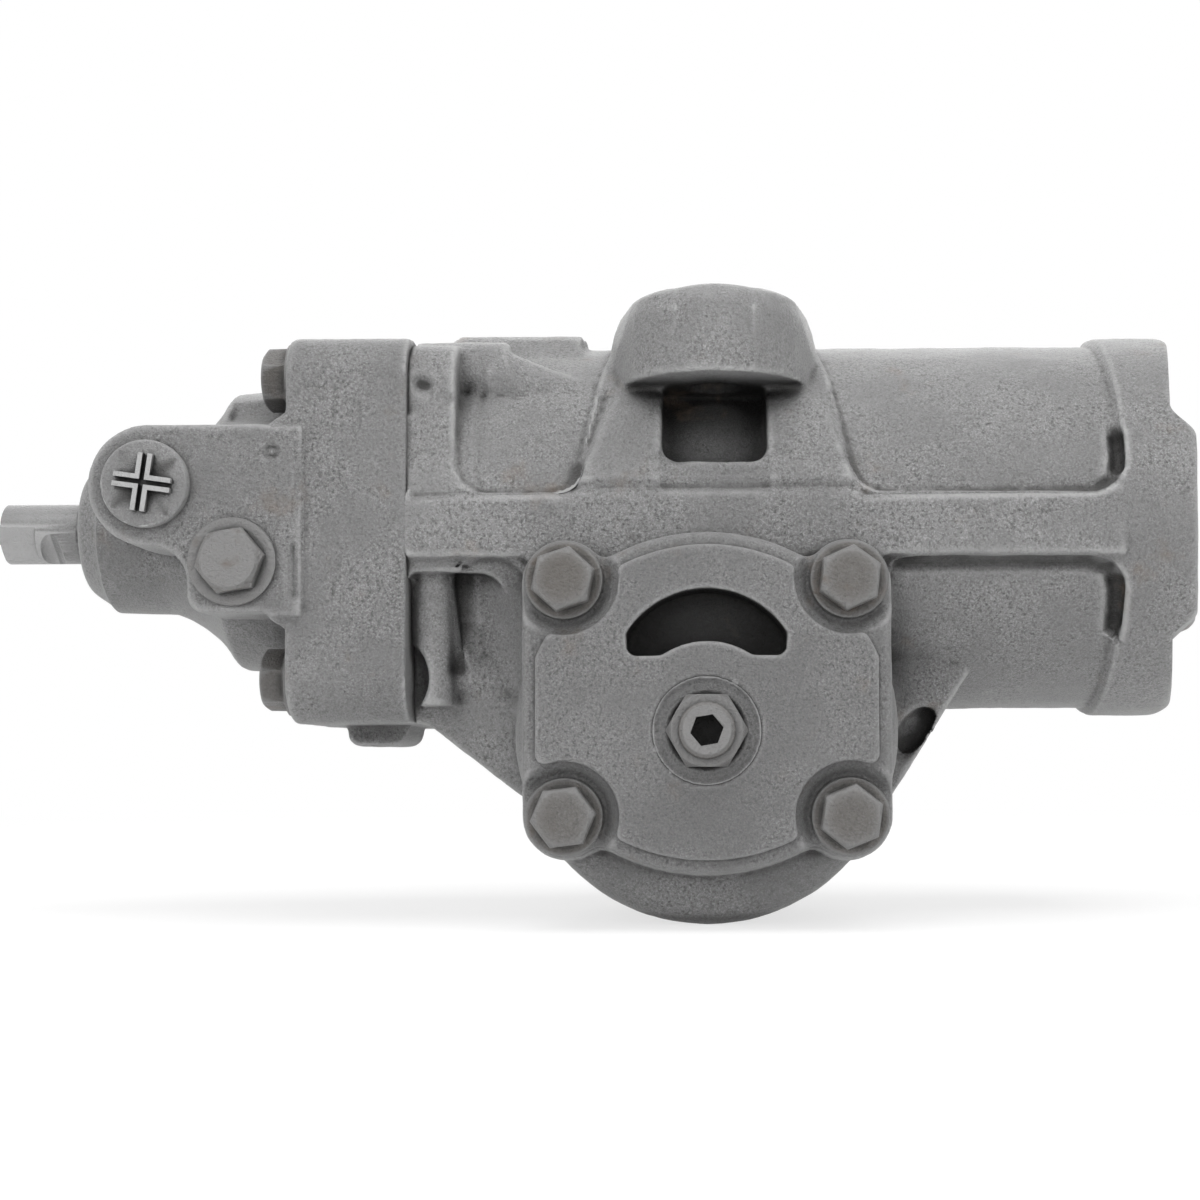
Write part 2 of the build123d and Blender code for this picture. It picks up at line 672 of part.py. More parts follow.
# Side cover, a second casting that plugs the sector chamber
SPIGOT_DEPTH = 12.0
HUB_CLEARANCE = 3.0
BUSHING_WALL = 3.0
COVER_SEAL_SECTION = 2.4
BOLT_SEAT_R = 12.6
PLATEAU_INSET = 4.0
SCALLOP_R = 15.5
SCALLOP_TIP_R = 2.2
PLATEAU_EDGE_R = 1.6
COVER_EDGE_R = 2.5
HUB_BACK = FACE_WIDTH / 2 + HUB_CLEARANCE
SHAFT_FRONT_GAP = 1.5
SPIGOT_R = SECTOR_CAVITY_R - SLIDE_FIT
COVER_SEAL_Y = COVER_JOINT - SPIGOT_DEPTH / 2


def plateau_outline():
    """Raised middle of the cover, scalloped round the four bolts."""
    with BuildSketch() as outline:
        Circle(COVER_BROW_R - PLATEAU_INSET)
        with Locations((0, COVER_BELLY_RISE)):
            Circle(COVER_BELLY_R - PLATEAU_INSET, mode=Mode.INTERSECT)
        Rectangle(2 * (COVER_SIDE - PLATEAU_INSET), 4 * COVER_BELLY_R, mode=Mode.INTERSECT)
        with Locations(*cover_bolt_places()):
            Circle(SCALLOP_R, mode=Mode.SUBTRACT)
        fillet(outline.vertices(), radius=SCALLOP_TIP_R)
    return outline.sketch


def plateau():
    """Plateau with its upper edge rounded."""
    with BuildPart() as body:
        with BuildSketch(facing(COVER_FACE - COVER_FLANGE / 2, SECTOR_Z)):
            add(plateau_outline())
        extrude(amount=COVER_PLATEAU + COVER_FLANGE / 2)
        fillet(body.faces().sort_by(Axis.Y)[0].edges(), radius=PLATEAU_EDGE_R)
    return body.part


def kidney():
    """Kidney-shaped pocket above the adjuster."""
    with BuildSketch() as outline:
        with Locations((0, KIDNEY_OUTER_RISE)):
            Circle(KIDNEY_OUTER_R)
        with Locations((0, KIDNEY_INNER_RISE)):
            Circle(KIDNEY_INNER_R, mode=Mode.SUBTRACT)
        with Locations((0, KIDNEY_LOW - KIDNEY_OUTER_R)):
            Rectangle(4 * KIDNEY_OUTER_R, 2 * KIDNEY_OUTER_R, mode=Mode.SUBTRACT)
        fillet(outline.vertices(), radius=KIDNEY_END_R / 2)
    return outline.sketch


with BuildPart() as sector_cover:
    with BuildSketch(facing(COVER_JOINT, SECTOR_Z)):
        add(cover_outline())
    extrude(amount=COVER_FLANGE)
    fillet(sector_cover.faces().sort_by(Axis.Y)[0].edges(), radius=COVER_EDGE_R)
    add(plateau())
    # Spigot, bushing hub and adjuster boss
    add(ring(facing(COVER_JOINT, SECTOR_Z), SPIGOT_R, JOURNAL_R, -SPIGOT_DEPTH))
    add(rod(facing(COVER_JOINT, SECTOR_Z), COVER_HUB_R, HUB_BACK - COVER_JOINT))
    add(rod(facing(HUB_BACK, SECTOR_Z), JOURNAL_R + BUSHING_WALL, SHAFT_FRONT + SHAFT_FRONT_GAP - HUB_BACK),
        mode=Mode.SUBTRACT)
    add(rod(facing(HUB_BACK, SECTOR_Z), ADJUSTER_R + THREAD_FIT, PLATEAU_FACE - HUB_BACK), mode=Mode.SUBTRACT)
    add(rod(facing(PLATEAU_FACE, SECTOR_Z), ADJUSTER_RECESS_R, -ADJUSTER_RECESS), mode=Mode.SUBTRACT)
    add(ring(facing(COVER_SEAL_Y, SECTOR_Z), 2 * SPIGOT_R, SPIGOT_R - COVER_SEAL_SECTION, COVER_SEAL_SECTION),
        mode=Mode.SUBTRACT)
    # Bolt seats, bolt holes and the kidney pocket
    with BuildSketch(facing(COVER_FACE, SECTOR_Z)):
        with Locations(*cover_bolt_places()):
            Circle(BOLT_SEAT_R)
    extrude(amount=2 * COVER_PLATEAU, mode=Mode.SUBTRACT)
    with BuildSketch(facing(COVER_JOINT, SECTOR_Z)):
        with Locations(*cover_bolt_places()):
            Circle(COVER_BOLT_R + THREAD_FIT)
    extrude(amount=COVER_FLANGE, mode=Mode.SUBTRACT)
    with BuildSketch(facing(PLATEAU_FACE, SECTOR_Z)):
        add(kidney())
    extrude(amount=-KIDNEY_DEPTH, mode=Mode.SUBTRACT)
sector_cover.part.label = "sector_cover"
export_step(sector_cover.part, "parts/sector_cover.step")

# Seal ring of the cover, in the groove of its spigot
with BuildPart() as cover_seal_ring:
    with BuildSketch(facing(COVER_SEAL_Y + SEAL_FIT, SECTOR_Z)):
        Circle(SECTOR_CAVITY_R - SEAL_FIT)
        Circle(SPIGOT_R - COVER_SEAL_SECTION + SEAL_FIT, mode=Mode.SUBTRACT)
    extrude(amount=COVER_SEAL_SECTION - 2 * SEAL_FIT)
cover_seal_ring.part.label = "cover_seal_ring"
export_step(cover_seal_ring.part, "parts/cover_seal_ring.step")

# Flanged bolts of the side cover, each turned as it was tightened
COVER_BOLT_FLATS = 15.9
COVER_BOLT_HEAD = 8.6
BOLT_FLANGE_R = 11.1
BOLT_FLANGE = 1.6
COVER_BOLT_TURNS = (-12, -6, 37, -8)
cover_bolt = hex_bolt(COVER_BOLT_FLATS, COVER_BOLT_HEAD, BOLT_FLANGE_R, BOLT_FLANGE, COVER_BOLT_R,
                      COVER_FLANGE + COVER_BOLT_GRIP - 1)
with BuildPart() as cover_bolts:
    for place, turn in zip(cover_bolt_places(), COVER_BOLT_TURNS):
        with Locations(facing(COVER_FACE, SECTOR_Z).location * Pos(*place) * Rot(0, 0, turn)):
            add(cover_bolt)
cover_bolts.part.label = "cover_bolts"
export_step(cover_bolts.part, "parts/cover_bolts.step")

# Bushing of the front journal
with BuildPart() as cover_bushing:
    with BuildSketch(facing(HUB_BACK + 1, SECTOR_Z)):
        Circle(JOURNAL_R + BUSHING_WALL - SEAL_FIT)
        Circle(JOURNAL_R + RUN_FIT, mode=Mode.SUBTRACT)
    extrude(amount=SHAFT_FRONT - HUB_BACK - 2)
cover_bushing.part.label = "cover_bushing"
export_step(cover_bushing.part, "parts/cover_bushing.step")

# Lash adjuster: screw with a round head in the T-slot of the sector shaft, shim and lock nut
ADJUSTER_HEAD_R = 11.6
ADJUSTER_HEAD = 4.4
SHIM = 1.4
SLOT_LIP = 4.0
ADJUSTER_STICK_OUT = 8.4
SOCKET_FLATS = 8.0
SOCKET_DEPTH = 7.0
SOCKET_TURN = 10.0
LOCKNUT_FLATS = 20.0
LOCKNUT_HEIGHT = 7.6
NUT_SEAT = PLATEAU_FACE - ADJUSTER_RECESS
HEAD_FRONT = SHAFT_FRONT - SLOT_LIP - SLIDE_FIT
HEAD_BACK = HEAD_FRONT - ADJUSTER_HEAD
SHIM_BACK = HEAD_BACK - SLIDE_FIT - SHIM
SLOT_BACK = SHIM_BACK - SLIDE_FIT

with BuildPart() as adjuster_screw:
    add(rod(facing(HEAD_BACK, SECTOR_Z), ADJUSTER_R, PLATEAU_FACE + ADJUSTER_STICK_OUT - HEAD_BACK))
    chamfer(adjuster_screw.edges().sort_by(Axis.Y)[0], length=1.2)
    add(rod(facing(HEAD_BACK, SECTOR_Z), ADJUSTER_HEAD_R, ADJUSTER_HEAD))
    with BuildSketch(facing(PLATEAU_FACE + ADJUSTER_STICK_OUT, SECTOR_Z)):
        RegularPolygon(SOCKET_FLATS / 2, 6, major_radius=False, rotation=SOCKET_TURN)
    extrude(amount=-SOCKET_DEPTH, mode=Mode.SUBTRACT)
adjuster_screw.part.label = "adjuster_screw"
export_step(adjuster_screw.part, "parts/adjuster_screw.step")

with BuildPart() as adjuster_shim:
    add(rod(facing(SHIM_BACK, SECTOR_Z), ADJUSTER_HEAD_R, SHIM))
adjuster_shim.part.label = "adjuster_shim"
export_step(adjuster_shim.part, "parts/adjuster_shim.step")

with BuildPart() as adjuster_locknut:
    with BuildSketch(facing(NUT_SEAT, SECTOR_Z)):
        RegularPolygon(LOCKNUT_FLATS / 2, 6, major_radius=False)
    extrude(amount=LOCKNUT_HEIGHT)
    corner = LOCKNUT_FLATS / 2 / cos(radians(30))
    with BuildSketch(facing(NUT_SEAT, SECTOR_Z)):
        Circle(corner + LOCKNUT_HEIGHT * tan(radians(20)) - 1.6)
    extrude(amount=LOCKNUT_HEIGHT, taper=20, mode=Mode.INTERSECT)
    add(rod(facing(NUT_SEAT, SECTOR_Z), ADJUSTER_R + THREAD_FIT, LOCKNUT_HEIGHT), mode=Mode.SUBTRACT)
adjuster_locknut.part.label = "adjuster_locknut"
export_step(adjuster_locknut.part, "parts/adjuster_locknut.step")

# Sector shaft: front journal with the T-slot, three-tooth sector, rear journal, spline and stud
SPLINE_DEPTH = 1.1
SLOT_HALF = ADJUSTER_HEAD_R + SLIDE_FIT
REAR_SHAFT_END = SPLINE_START + SPLINE_LENGTH

with BuildPart() as sector_shaft:
    add(turned(SECTOR_SECTION, SECTOR_AXIS, [
        (-SHAFT_FRONT, -FACE_WIDTH / 2, JOURNAL_R),
        (-FACE_WIDTH / 2, FACE_WIDTH / 2, PITCH_R - DEDENDUM),
        (FACE_WIDTH / 2, SPLINE_START - 2, REAR_JOURNAL_R),
        (SPLINE_START - 2, REAR_SHAFT_END, SPLINE_R),
        (REAR_SHAFT_END, REAR_SHAFT_END + STUD_LENGTH, STUD_R),
    ]))
    chamfer(sector_shaft.edges().filter_by(GeomType.CIRCLE).sort_by(Axis.Y)[-1], length=1.5)
    with BuildSketch(facing(FACE_WIDTH / 2, SECTOR_Z)):
        with PolarLocations(0, 3, start_angle=-360 / SECTOR_TEETH_PER_TURN,
                            angular_range=2 * 360 / SECTOR_TEETH_PER_TURN, endpoint=True):
            add(sector_tooth())
    extrude(amount=-FACE_WIDTH)
    # T-slot for the head of the adjuster
    with BuildSketch(facing(SHAFT_FRONT, SECTOR_Z)):
        Rectangle(2 * (ADJUSTER_R + SLIDE_FIT), 4 * JOURNAL_R)
    extrude(amount=SLOT_BACK - SHAFT_FRONT, mode=Mode.SUBTRACT)
    with BuildSketch(facing(SHAFT_FRONT - SLOT_LIP, SECTOR_Z)):
        Rectangle(2 * SLOT_HALF, 4 * JOURNAL_R)
    extrude(amount=SLOT_BACK - SHAFT_FRONT + SLOT_LIP, mode=Mode.SUBTRACT)
    # Serrations for the pitman arm
    with BuildSketch(facing(-SPLINE_START, SECTOR_Z)):
        with PolarLocations(SPLINE_R + 0.05, SPLINE_TEETH):
            RegularPolygon(SPLINE_DEPTH, 3, rotation=180)
    extrude(amount=-SPLINE_LENGTH, mode=Mode.SUBTRACT)
sector_shaft.part.label = "sector_shaft"
export_step(sector_shaft.part, "parts/sector_shaft.step")

# Output bearing and seals, in the order in which they go into the boss
with BuildPart() as sector_needle_bearing:
    add(needle_bearing(facing(-OUTPUT_SEAL_Y, SECTOR_Z), REAR_JOURNAL_R, OUTPUT_BEARING_R,
                       OUTPUT_BEARING_LENGTH, 2.0, 14))
sector_needle_bearing.part.label = "sector_needle_bearing"
export_step(sector_needle_bearing.part, "parts/sector_needle_bearing.step")

with BuildPart() as sector_oil_seal:
    add(ring(facing(-OUTPUT_SEAL_Y - OUTPUT_SEAL_LENGTH, SECTOR_Z), OUTPUT_SEAL_R,
             REAR_JOURNAL_R + SEAL_FIT, OUTPUT_SEAL_LENGTH))
    add(ring(facing(-OUTPUT_SEAL_Y - OUTPUT_SEAL_LENGTH + 2, SECTOR_Z), OUTPUT_SEAL_R - 2.5,
             REAR_JOURNAL_R + 2, OUTPUT_SEAL_LENGTH - 2), mode=Mode.SUBTRACT)
sector_oil_seal.part.label = "sector_oil_seal"
export_step(sector_oil_seal.part, "parts/sector_oil_seal.step")

with BuildPart() as sector_dust_seal:
    add(ring(facing(-OUTPUT_SNAP_Y, SECTOR_Z), OUTPUT_SEAL_R, REAR_JOURNAL_R + SEAL_FIT, OUTPUT_DUST_LENGTH))
sector_dust_seal.part.label = "sector_dust_seal"
export_step(sector_dust_seal.part, "parts/sector_dust_seal.step")

SNAP_GAP = 14.0
SNAP_INNER = 3.2


def snap_ring(plane, bore_r):
    """Internal retaining ring, open at the bottom, in a groove of a bore."""
    with BuildPart() as body:
        with BuildSketch(plane):
            Circle(bore_r + SNAP_GROOVE - SLIDE_FIT)
            Circle(bore_r - SNAP_INNER, mode=Mode.SUBTRACT)
            with Locations((0, -bore_r)):
                Rectangle(SNAP_GAP, bore_r, mode=Mode.SUBTRACT)
        extrude(amount=SNAP_RING)
    return body.part


with BuildPart() as sector_snap_ring:
    add(snap_ring(facing(-OUTPUT_SNAP_Y - SNAP_RING - SLIDE_FIT / 2, SECTOR_Z), OUTPUT_SEAL_R))
sector_snap_ring.part.label = "sector_snap_ring"
export_step(sector_snap_ring.part, "parts/sector_snap_ring.step")

# Valve housing, the third casting, with the nose, the port block and the stepped valve bore
NOSE_TIP_R = 25.2
SPIGOT_LENGTH = 5.0
SPIGOT_BORE_R = 36.0
INPUT_SEAL_R = 17.0
INPUT_BEARING_R = 14.5
INPUT_SEAL_LENGTH = 5.0
INPUT_DUST_LENGTH = 3.4
INPUT_BEARING_LENGTH = 12.0
INPUT_MOUTH = 1.2
JOINT_RING_R = 47.0
JOINT_RING_SECTION = 2.4
BOTTOM_LUG_LEFT = -109.0
BOTTOM_LUG_LENGTH = 19.0
BOTTOM_LUG_DROP = 6.5
INPUT_SNAP_X = NOSE_TIP_X + INPUT_MOUTH
INPUT_DUST_X = INPUT_SNAP_X + SNAP_RING + SLIDE_FIT
INPUT_SEAL_X = INPUT_DUST_X + INPUT_DUST_LENGTH
INPUT_BEARING_X = INPUT_SEAL_X + INPUT_SEAL_LENGTH
VALVE_BORE_X = INPUT_BEARING_X + INPUT_BEARING_LENGTH
PORT_FLOOR = PORT_FACE - PORT_BORE_DEPTH


def valve_body():
    """Nose, flaring cone and square block."""
    with BuildPart() as body:
        with BuildSketch(WORM_SECTION):
            with BuildLine():
                Line((NOSE_TIP_X, 0), (NOSE_TIP_X, NOSE_TIP_R))
                Line((NOSE_TIP_X, NOSE_TIP_R), (NOSE_BASE_X, NOSE_R))
                flare = TangentArc((NOSE_BASE_X, NOSE_R), (CONE_BASE_X, CONE_R), tangent=(1, 0.35))
                Line(flare @ 1, (BLOCK_LEFT_X, CONE_R + 2))
                Line((BLOCK_LEFT_X, CONE_R + 2), (BLOCK_LEFT_X, 0))
                Line((BLOCK_LEFT_X, 0), (NOSE_TIP_X, 0))
            make_face()
        revolve(axis=WORM_AXIS)
        chamfer(body.edges().filter_by(GeomType.CIRCLE).sort_by(Axis.X)[0], length=1.5)
        with BuildSketch(across(BLOCK_LEFT_X)):
            add(block_outline())
        block = extrude(amount=BLOCK_LENGTH)
        fillet(block.faces().sort_by(Axis.X)[0].edges(), radius=3)
    return body.part


def port_block():
    """Port block in front of the valve body, with one lobe round each port."""
    left = RETURN_X - RETURN_LOBE_LEFT
    top = PRESSURE_Z + PRESSURE_LOBE_R
    low = PRESSURE_Z - PRESSURE_LOBE_R
    with BuildPart() as body:
        with BuildSketch(facing(PORT_FACE)):
            with Locations((PRESSURE_X, PRESSURE_Z)):
                Circle(PRESSURE_LOBE_R)
            with Locations(((PRESSURE_X + PORT_BLOCK_RIGHT) / 2, (top + low) / 2)):
                Rectangle(PORT_BLOCK_RIGHT - PRESSURE_X, top - low)
            with Locations(((left + PORT_BLOCK_RIGHT) / 2, (top + PORT_BLOCK_BOTTOM) / 2)):
                Rectangle(PORT_BLOCK_RIGHT - left, top - PORT_BLOCK_BOTTOM)
            neck = vertices().filter_by_position(Axis.Y, low - 0.1, low + 0.1).sort_by(Axis.X)
            fillet([v for v in neck if abs(v.X - left) < 0.1], radius=PORT_NECK_R)
            fillet(vertices().group_by(Axis.Y)[0].sort_by(Axis.X)[0], radius=PORT_CORNER_R)
        extrude(amount=PORT_BLOCK_BACK - PORT_FACE)
        fillet(body.faces().sort_by(Axis.Y)[0].edges(), radius=1.5)
        add(rod(facing(PORT_BLOCK_BACK, WORM_Z), 0.7 * PRESSURE_LOBE_R, -PORT_BLOCK_BACK / 2)
            .moved(Pos(PRESSURE_X, 0, PRESSURE_Z)))
    return body.part


with BuildPart() as valve_housing:
    add(valve_body())
    add(port_block())
    with BuildSketch(facing(BLOCK_FRONT / 2)):
        with Locations((BOTTOM_LUG_LEFT + BOTTOM_LUG_LENGTH / 2, -BLOCK_DROP - BLOCK_HEIGHT / 2)):
            RectangleRounded(BOTTOM_LUG_LENGTH, 2 * BOTTOM_LUG_DROP, BOTTOM_LUG_DROP * 0.7)
    extrude(amount=-BLOCK_FRONT / 2)
    add(ring(across(JOINT_X), CYLINDER_R - SLIDE_FIT, SPIGOT_BORE_R, SPIGOT_LENGTH))
    # Stepped bore for seals, bearing, valve and thrust bearing
    add(turned(WORM_SECTION, WORM_AXIS, [
        (NOSE_TIP_X, INPUT_BEARING_X, INPUT_SEAL_R + SLIDE_FIT),
        (INPUT_SNAP_X, INPUT_DUST_X, INPUT_SEAL_R + SNAP_GROOVE),
        (INPUT_BEARING_X, VALVE_BORE_X, INPUT_BEARING_R + SLIDE_FIT),
        (VALVE_BORE_X, THRUST_SEAT_X, VALVE_BORE_R),
        (THRUST_SEAT_X, JOINT_X, RACE_NUT_R + THREAD_FIT),
    ]), mode=Mode.SUBTRACT)
    add(ring(across(JOINT_X), JOINT_RING_R + JOINT_RING_SECTION, JOINT_RING_R, -JOINT_RING_SECTION),
        mode=Mode.SUBTRACT)
    # Bolt holes and the spot faces under their heads
    with BuildSketch(across(BLOCK_LEFT_X)):
        with Locations(*valve_bolt_places()):
            Circle(VALVE_BOLT_R + THREAD_FIT)
    extrude(amount=BLOCK_LENGTH, mode=Mode.SUBTRACT)
    with BuildSketch(across(BLOCK_LEFT_X)):
        with Locations(*valve_bolt_places()):
            Circle(BOLT_SEAT_R)
    extrude(amount=-BLOCK_LENGTH / 2, mode=Mode.SUBTRACT)
    # Ports and their drillings into the valve bore
    for port_x, port_z in ((PRESSURE_X, PRESSURE_Z), (RETURN_X, RETURN_Z)):
        add(rod(facing(PORT_FLOOR), PORT_BORE_R + THREAD_FIT, PORT_BORE_DEPTH).moved(Pos(port_x, 0, port_z)),
            mode=Mode.SUBTRACT)
        add(rod(facing(PORT_FLOOR), PORT_DRILL_R, VALVE_BORE_R / 2 - PORT_FLOOR).moved(Pos(port_x, 0, port_z)),
            mode=Mode.SUBTRACT)
valve_housing.part.label = "valve_housing"
export_step(valve_housing.part, "parts/valve_housing.step")

with BuildPart() as housing_joint_ring:
    add(ring(across(JOINT_X), JOINT_RING_R + JOINT_RING_SECTION - SEAL_FIT, JOINT_RING_R + SEAL_FIT,
             -JOINT_RING_SECTION))
housing_joint_ring.part.label = "housing_joint_ring"
export_step(housing_joint_ring.part, "parts/housing_joint_ring.step")

# Bolts of the valve housing, heads towards the input shaft
VALVE_BOLT_FLATS = 16.4
VALVE_BOLT_HEAD = 11.0
VALVE_BOLT_TURN = -14.0
valve_bolt = hex_bolt(VALVE_BOLT_FLATS, VALVE_BOLT_HEAD, BOLT_FLANGE_R, 2 * BOLT_FLANGE, VALVE_BOLT_R,
                      BLOCK_LENGTH + 1.3 * JOINT_FLANGE)
bolt_face = Plane(origin=across(BLOCK_LEFT_X).origin, x_dir=(0, -1, 0), z_dir=(-1, 0, 0))
with BuildPart() as valve_housing_bolts:
    for side, height in valve_bolt_places():
        with Locations(bolt_face.location * Pos(-side, height) * Rot(0, 0, VALVE_BOLT_TURN)):
            add(valve_bolt)
valve_housing_bolts.part.label = "valve_housing_bolts"
export_step(valve_housing_bolts.part, "parts/valve_housing_bolts.step")

# Port seats, transit cap of the pressure port and plug of the return port
SEAT_LENGTH = 5.0
CAP_STEM = 9.0
CAP_HEAD = 3.0
CROSS_ARM = 8.3
CROSS_RIDGE = 1.4
CROSS_SLOT = 1.4
CROSS_HEIGHT = 2.4
CROSS_TURN = -8.0
PLUG_FLANGE = 1.8
PLUG_FLATS = 17.4
PLUG_HEAD = 6.4
PLUG_TURN = 10.0

with BuildPart() as port_seats:
    for port_x, port_z in ((PRESSURE_X, PRESSURE_Z), (RETURN_X, RETURN_Z)):
        add(ring(facing(PORT_FLOOR), PORT_BORE_R, PORT_DRILL_R, SEAT_LENGTH).moved(Pos(port_x, 0, port_z)))
port_seats.part.label = "port_seats"
export_step(port_seats.part, "parts/port_seats.step")

with BuildPart() as pressure_port_cap:
    with BuildSketch(facing(PORT_FACE)):
        with Locations((PRESSURE_X, PRESSURE_Z)):
            Circle(PORT_HEAD_R)
    extrude(amount=CAP_HEAD)
    fillet(pressure_port_cap.faces().sort_by(Axis.Y)[0].edges(), radius=1)
    with BuildSketch(facing(PORT_FACE)):
        with Locations((PRESSURE_X, PRESSURE_Z)):
            Circle(PORT_BORE_R)
    extrude(amount=-CAP_STEM)
    with BuildSketch(facing(PORT_FACE + CAP_HEAD)):
        with Locations((PRESSURE_X, PRESSURE_Z)):
            Rectangle(2 * CROSS_ARM, CROSS_SLOT + 2 * CROSS_RIDGE, rotation=CROSS_TURN)
            Rectangle(CROSS_SLOT + 2 * CROSS_RIDGE, 2 * CROSS_ARM, rotation=CROSS_TURN)
            Rectangle(2.2 * CROSS_ARM, CROSS_SLOT, rotation=CROSS_TURN, mode=Mode.SUBTRACT)
            Rectangle(CROSS_SLOT, 2.2 * CROSS_ARM, rotation=CROSS_TURN, mode=Mode.SUBTRACT)
    extrude(amount=CROSS_HEIGHT)
pressure_port_cap.part.label = "pressure_port_cap"
export_step(pressure_port_cap.part, "parts/pressure_port_cap.step")

plug = hex_bolt(PLUG_FLATS, PLUG_HEAD, PORT_HEAD_R, PLUG_FLANGE, PORT_BORE_R, CAP_STEM)
with BuildPart() as return_port_plug:
    with Locations(facing(PORT_FACE).location * Pos(RETURN_X, RETURN_Z) * Rot(0, 0, PLUG_TURN)):
        add(plug)
return_port_plug.part.label = "return_port_plug"
export_step(return_port_plug.part, "parts/return_port_plug.step")

# Rack piston with the ball nut inside it and the rack under it
WORM_WELL_END = 62.0
PISTON_CUP_R = 30.0
PISTON_CUP_DEPTH = 24.0
RACK_FLAT_HALF = 46.0
RING_WIDTH = 3.6
RING_DEPTH = 3.2
RING_X = PISTON_RIGHT - 12.0
GUIDE_FLAT_Z = 27.0
GUIDE_FLAT_END = -7.0
GUIDE_R = 5.2
GUIDE_BORE_R = 3.8
GUIDE_LEG = 8.0
GUIDE_RISE = 6.0
GUIDE_BEND_R = 5.6
PISTON_R = CYLINDER_R - PISTON_FIT
CIRCUIT_X = GROOVE_START_X + CIRCUIT_LEAD_IN * LEAD
CIRCUIT_END_X = CIRCUIT_X + CIRCUIT_TURNS * LEAD
circuit = ball_line(CIRCUIT_LEAD_IN, CIRCUIT_TURNS)
guide_in = circuit @ 0 - Vector(SECTOR_X, WORM_Y, WORM_Z)
guide_out = circuit @ 1 - Vector(SECTOR_X, WORM_Y, WORM_Z)


CLAMP_WIDTH = 9.0
CLAMP_SHEET = 1.5
CLAMP_HALF = 21.0
CLAMP_SCREW_R = 1.8
CLAMP_SCREW_HEAD_R = 3.4
CLAMP_SCREW_HEAD = 2.4
CLAMP_SCREW_LENGTH = 9.0
CLAMP_SCREW_X = 16.0
guide_middle = (guide_in + guide_out) * 0.5
guide_turn = atan2(guide_out.Y - guide_in.Y, guide_out.X - guide_in.X)
clamp_plane = Plane(
    origin=(SECTOR_X + guide_middle.X, WORM_Y + guide_middle.Y, WORM_Z + GUIDE_FLAT_Z),
    x_dir=(-sin(guide_turn), cos(guide_turn), 0),
    z_dir=(cos(guide_turn), sin(guide_turn), 0),
)


def rack_space():
    """One space between rack teeth, seen from the front, centred on the pitch line."""
    slope = tan(radians(PRESSURE_ANGLE))
    half = (TOOTH_PITCH / 2 + BACKLASH / 2) / 2
    mouth = ADDENDUM + 1.0
    with BuildSketch() as space:
        with BuildLine():
            Polyline((-half - mouth * slope, -mouth), (half + mouth * slope, -mouth),
                     (half - DEDENDUM * slope, DEDENDUM), (DEDENDUM * slope - half, DEDENDUM), close=True)
        make_face()
    return space.sketch


with BuildPart() as rack_piston:
    add(rod(across(PISTON_LEFT), PISTON_R, PISTON_RIGHT - PISTON_LEFT))
    chamfer(rack_piston.edges().filter_by(GeomType.CIRCLE), length=1.5)
    # Rack: a milled flat and three tooth spaces
    with BuildSketch(facing(CYLINDER_R)):
        with Locations((0, RACK_PITCH_Z - ADDENDUM - CYLINDER_R / 2)):
            Rectangle(2 * RACK_FLAT_HALF, CYLINDER_R)
        with Locations(*[(step * TOOTH_PITCH, RACK_PITCH_Z) for step in (-1, 0, 1)]):
            add(rack_space())
    extrude(amount=-2 * CYLINDER_R, mode=Mode.SUBTRACT)
    # Well of the worm, ball track, ring groove and cupped end
    add(rod(across(PISTON_LEFT), NUT_R, WORM_WELL_END - PISTON_LEFT), mode=Mode.SUBTRACT)
    add(ball_groove(CIRCUIT_LEAD_IN, CIRCUIT_TURNS), mode=Mode.SUBTRACT)
    add(ring(across(RING_X), 2 * PISTON_R, PISTON_R - RING_DEPTH, RING_WIDTH), mode=Mode.SUBTRACT)
    add(rod(across(PISTON_RIGHT), PISTON_CUP_R, -PISTON_CUP_DEPTH), mode=Mode.SUBTRACT)
    # Flat and the two holes for the ball return guide
    with BuildSketch(level(GUIDE_FLAT_Z)):
        with Locations(((PISTON_LEFT + GUIDE_FLAT_END) / 2, 0)):
            Rectangle(GUIDE_FLAT_END - PISTON_LEFT, 2 * CYLINDER_R)
    extrude(amount=CYLINDER_R, mode=Mode.SUBTRACT)
    with BuildSketch(level(GUIDE_FLAT_Z)):
        with Locations((guide_in.X, guide_in.Y), (guide_out.X, guide_out.Y)):
            Circle(GUIDE_R + SLIDE_FIT)
    extrude(amount=-GUIDE_LEG - SIDE_GAP, mode=Mode.SUBTRACT)
    with BuildSketch(level(GUIDE_FLAT_Z)):
        with Locations((guide_in.X, guide_in.Y), (guide_out.X, guide_out.Y)):
            Circle(GUIDE_BORE_R)
    extrude(amount=-GUIDE_FLAT_Z, mode=Mode.SUBTRACT)
    with BuildSketch(Plane(origin=clamp_plane.origin, x_dir=clamp_plane.x_dir)):
        with Locations((CLAMP_SCREW_X, 0), (-CLAMP_SCREW_X, 0)):
            Circle(CLAMP_SCREW_R + THREAD_FIT)
    extrude(amount=-CLAMP_SCREW_LENGTH, mode=Mode.SUBTRACT)
rack_piston.part.label = "rack_piston"
export_step(rack_piston.part, "parts/rack_piston.step")

with BuildPart() as piston_ring:
    add(ring(across(RING_X + SLIDE_FIT), CYLINDER_R - SEAL_FIT, PISTON_R - RING_DEPTH + SLIDE_FIT,
             RING_WIDTH - 2 * SLIDE_FIT))
piston_ring.part.label = "piston_ring"
export_step(piston_ring.part, "parts/piston_ring.step")

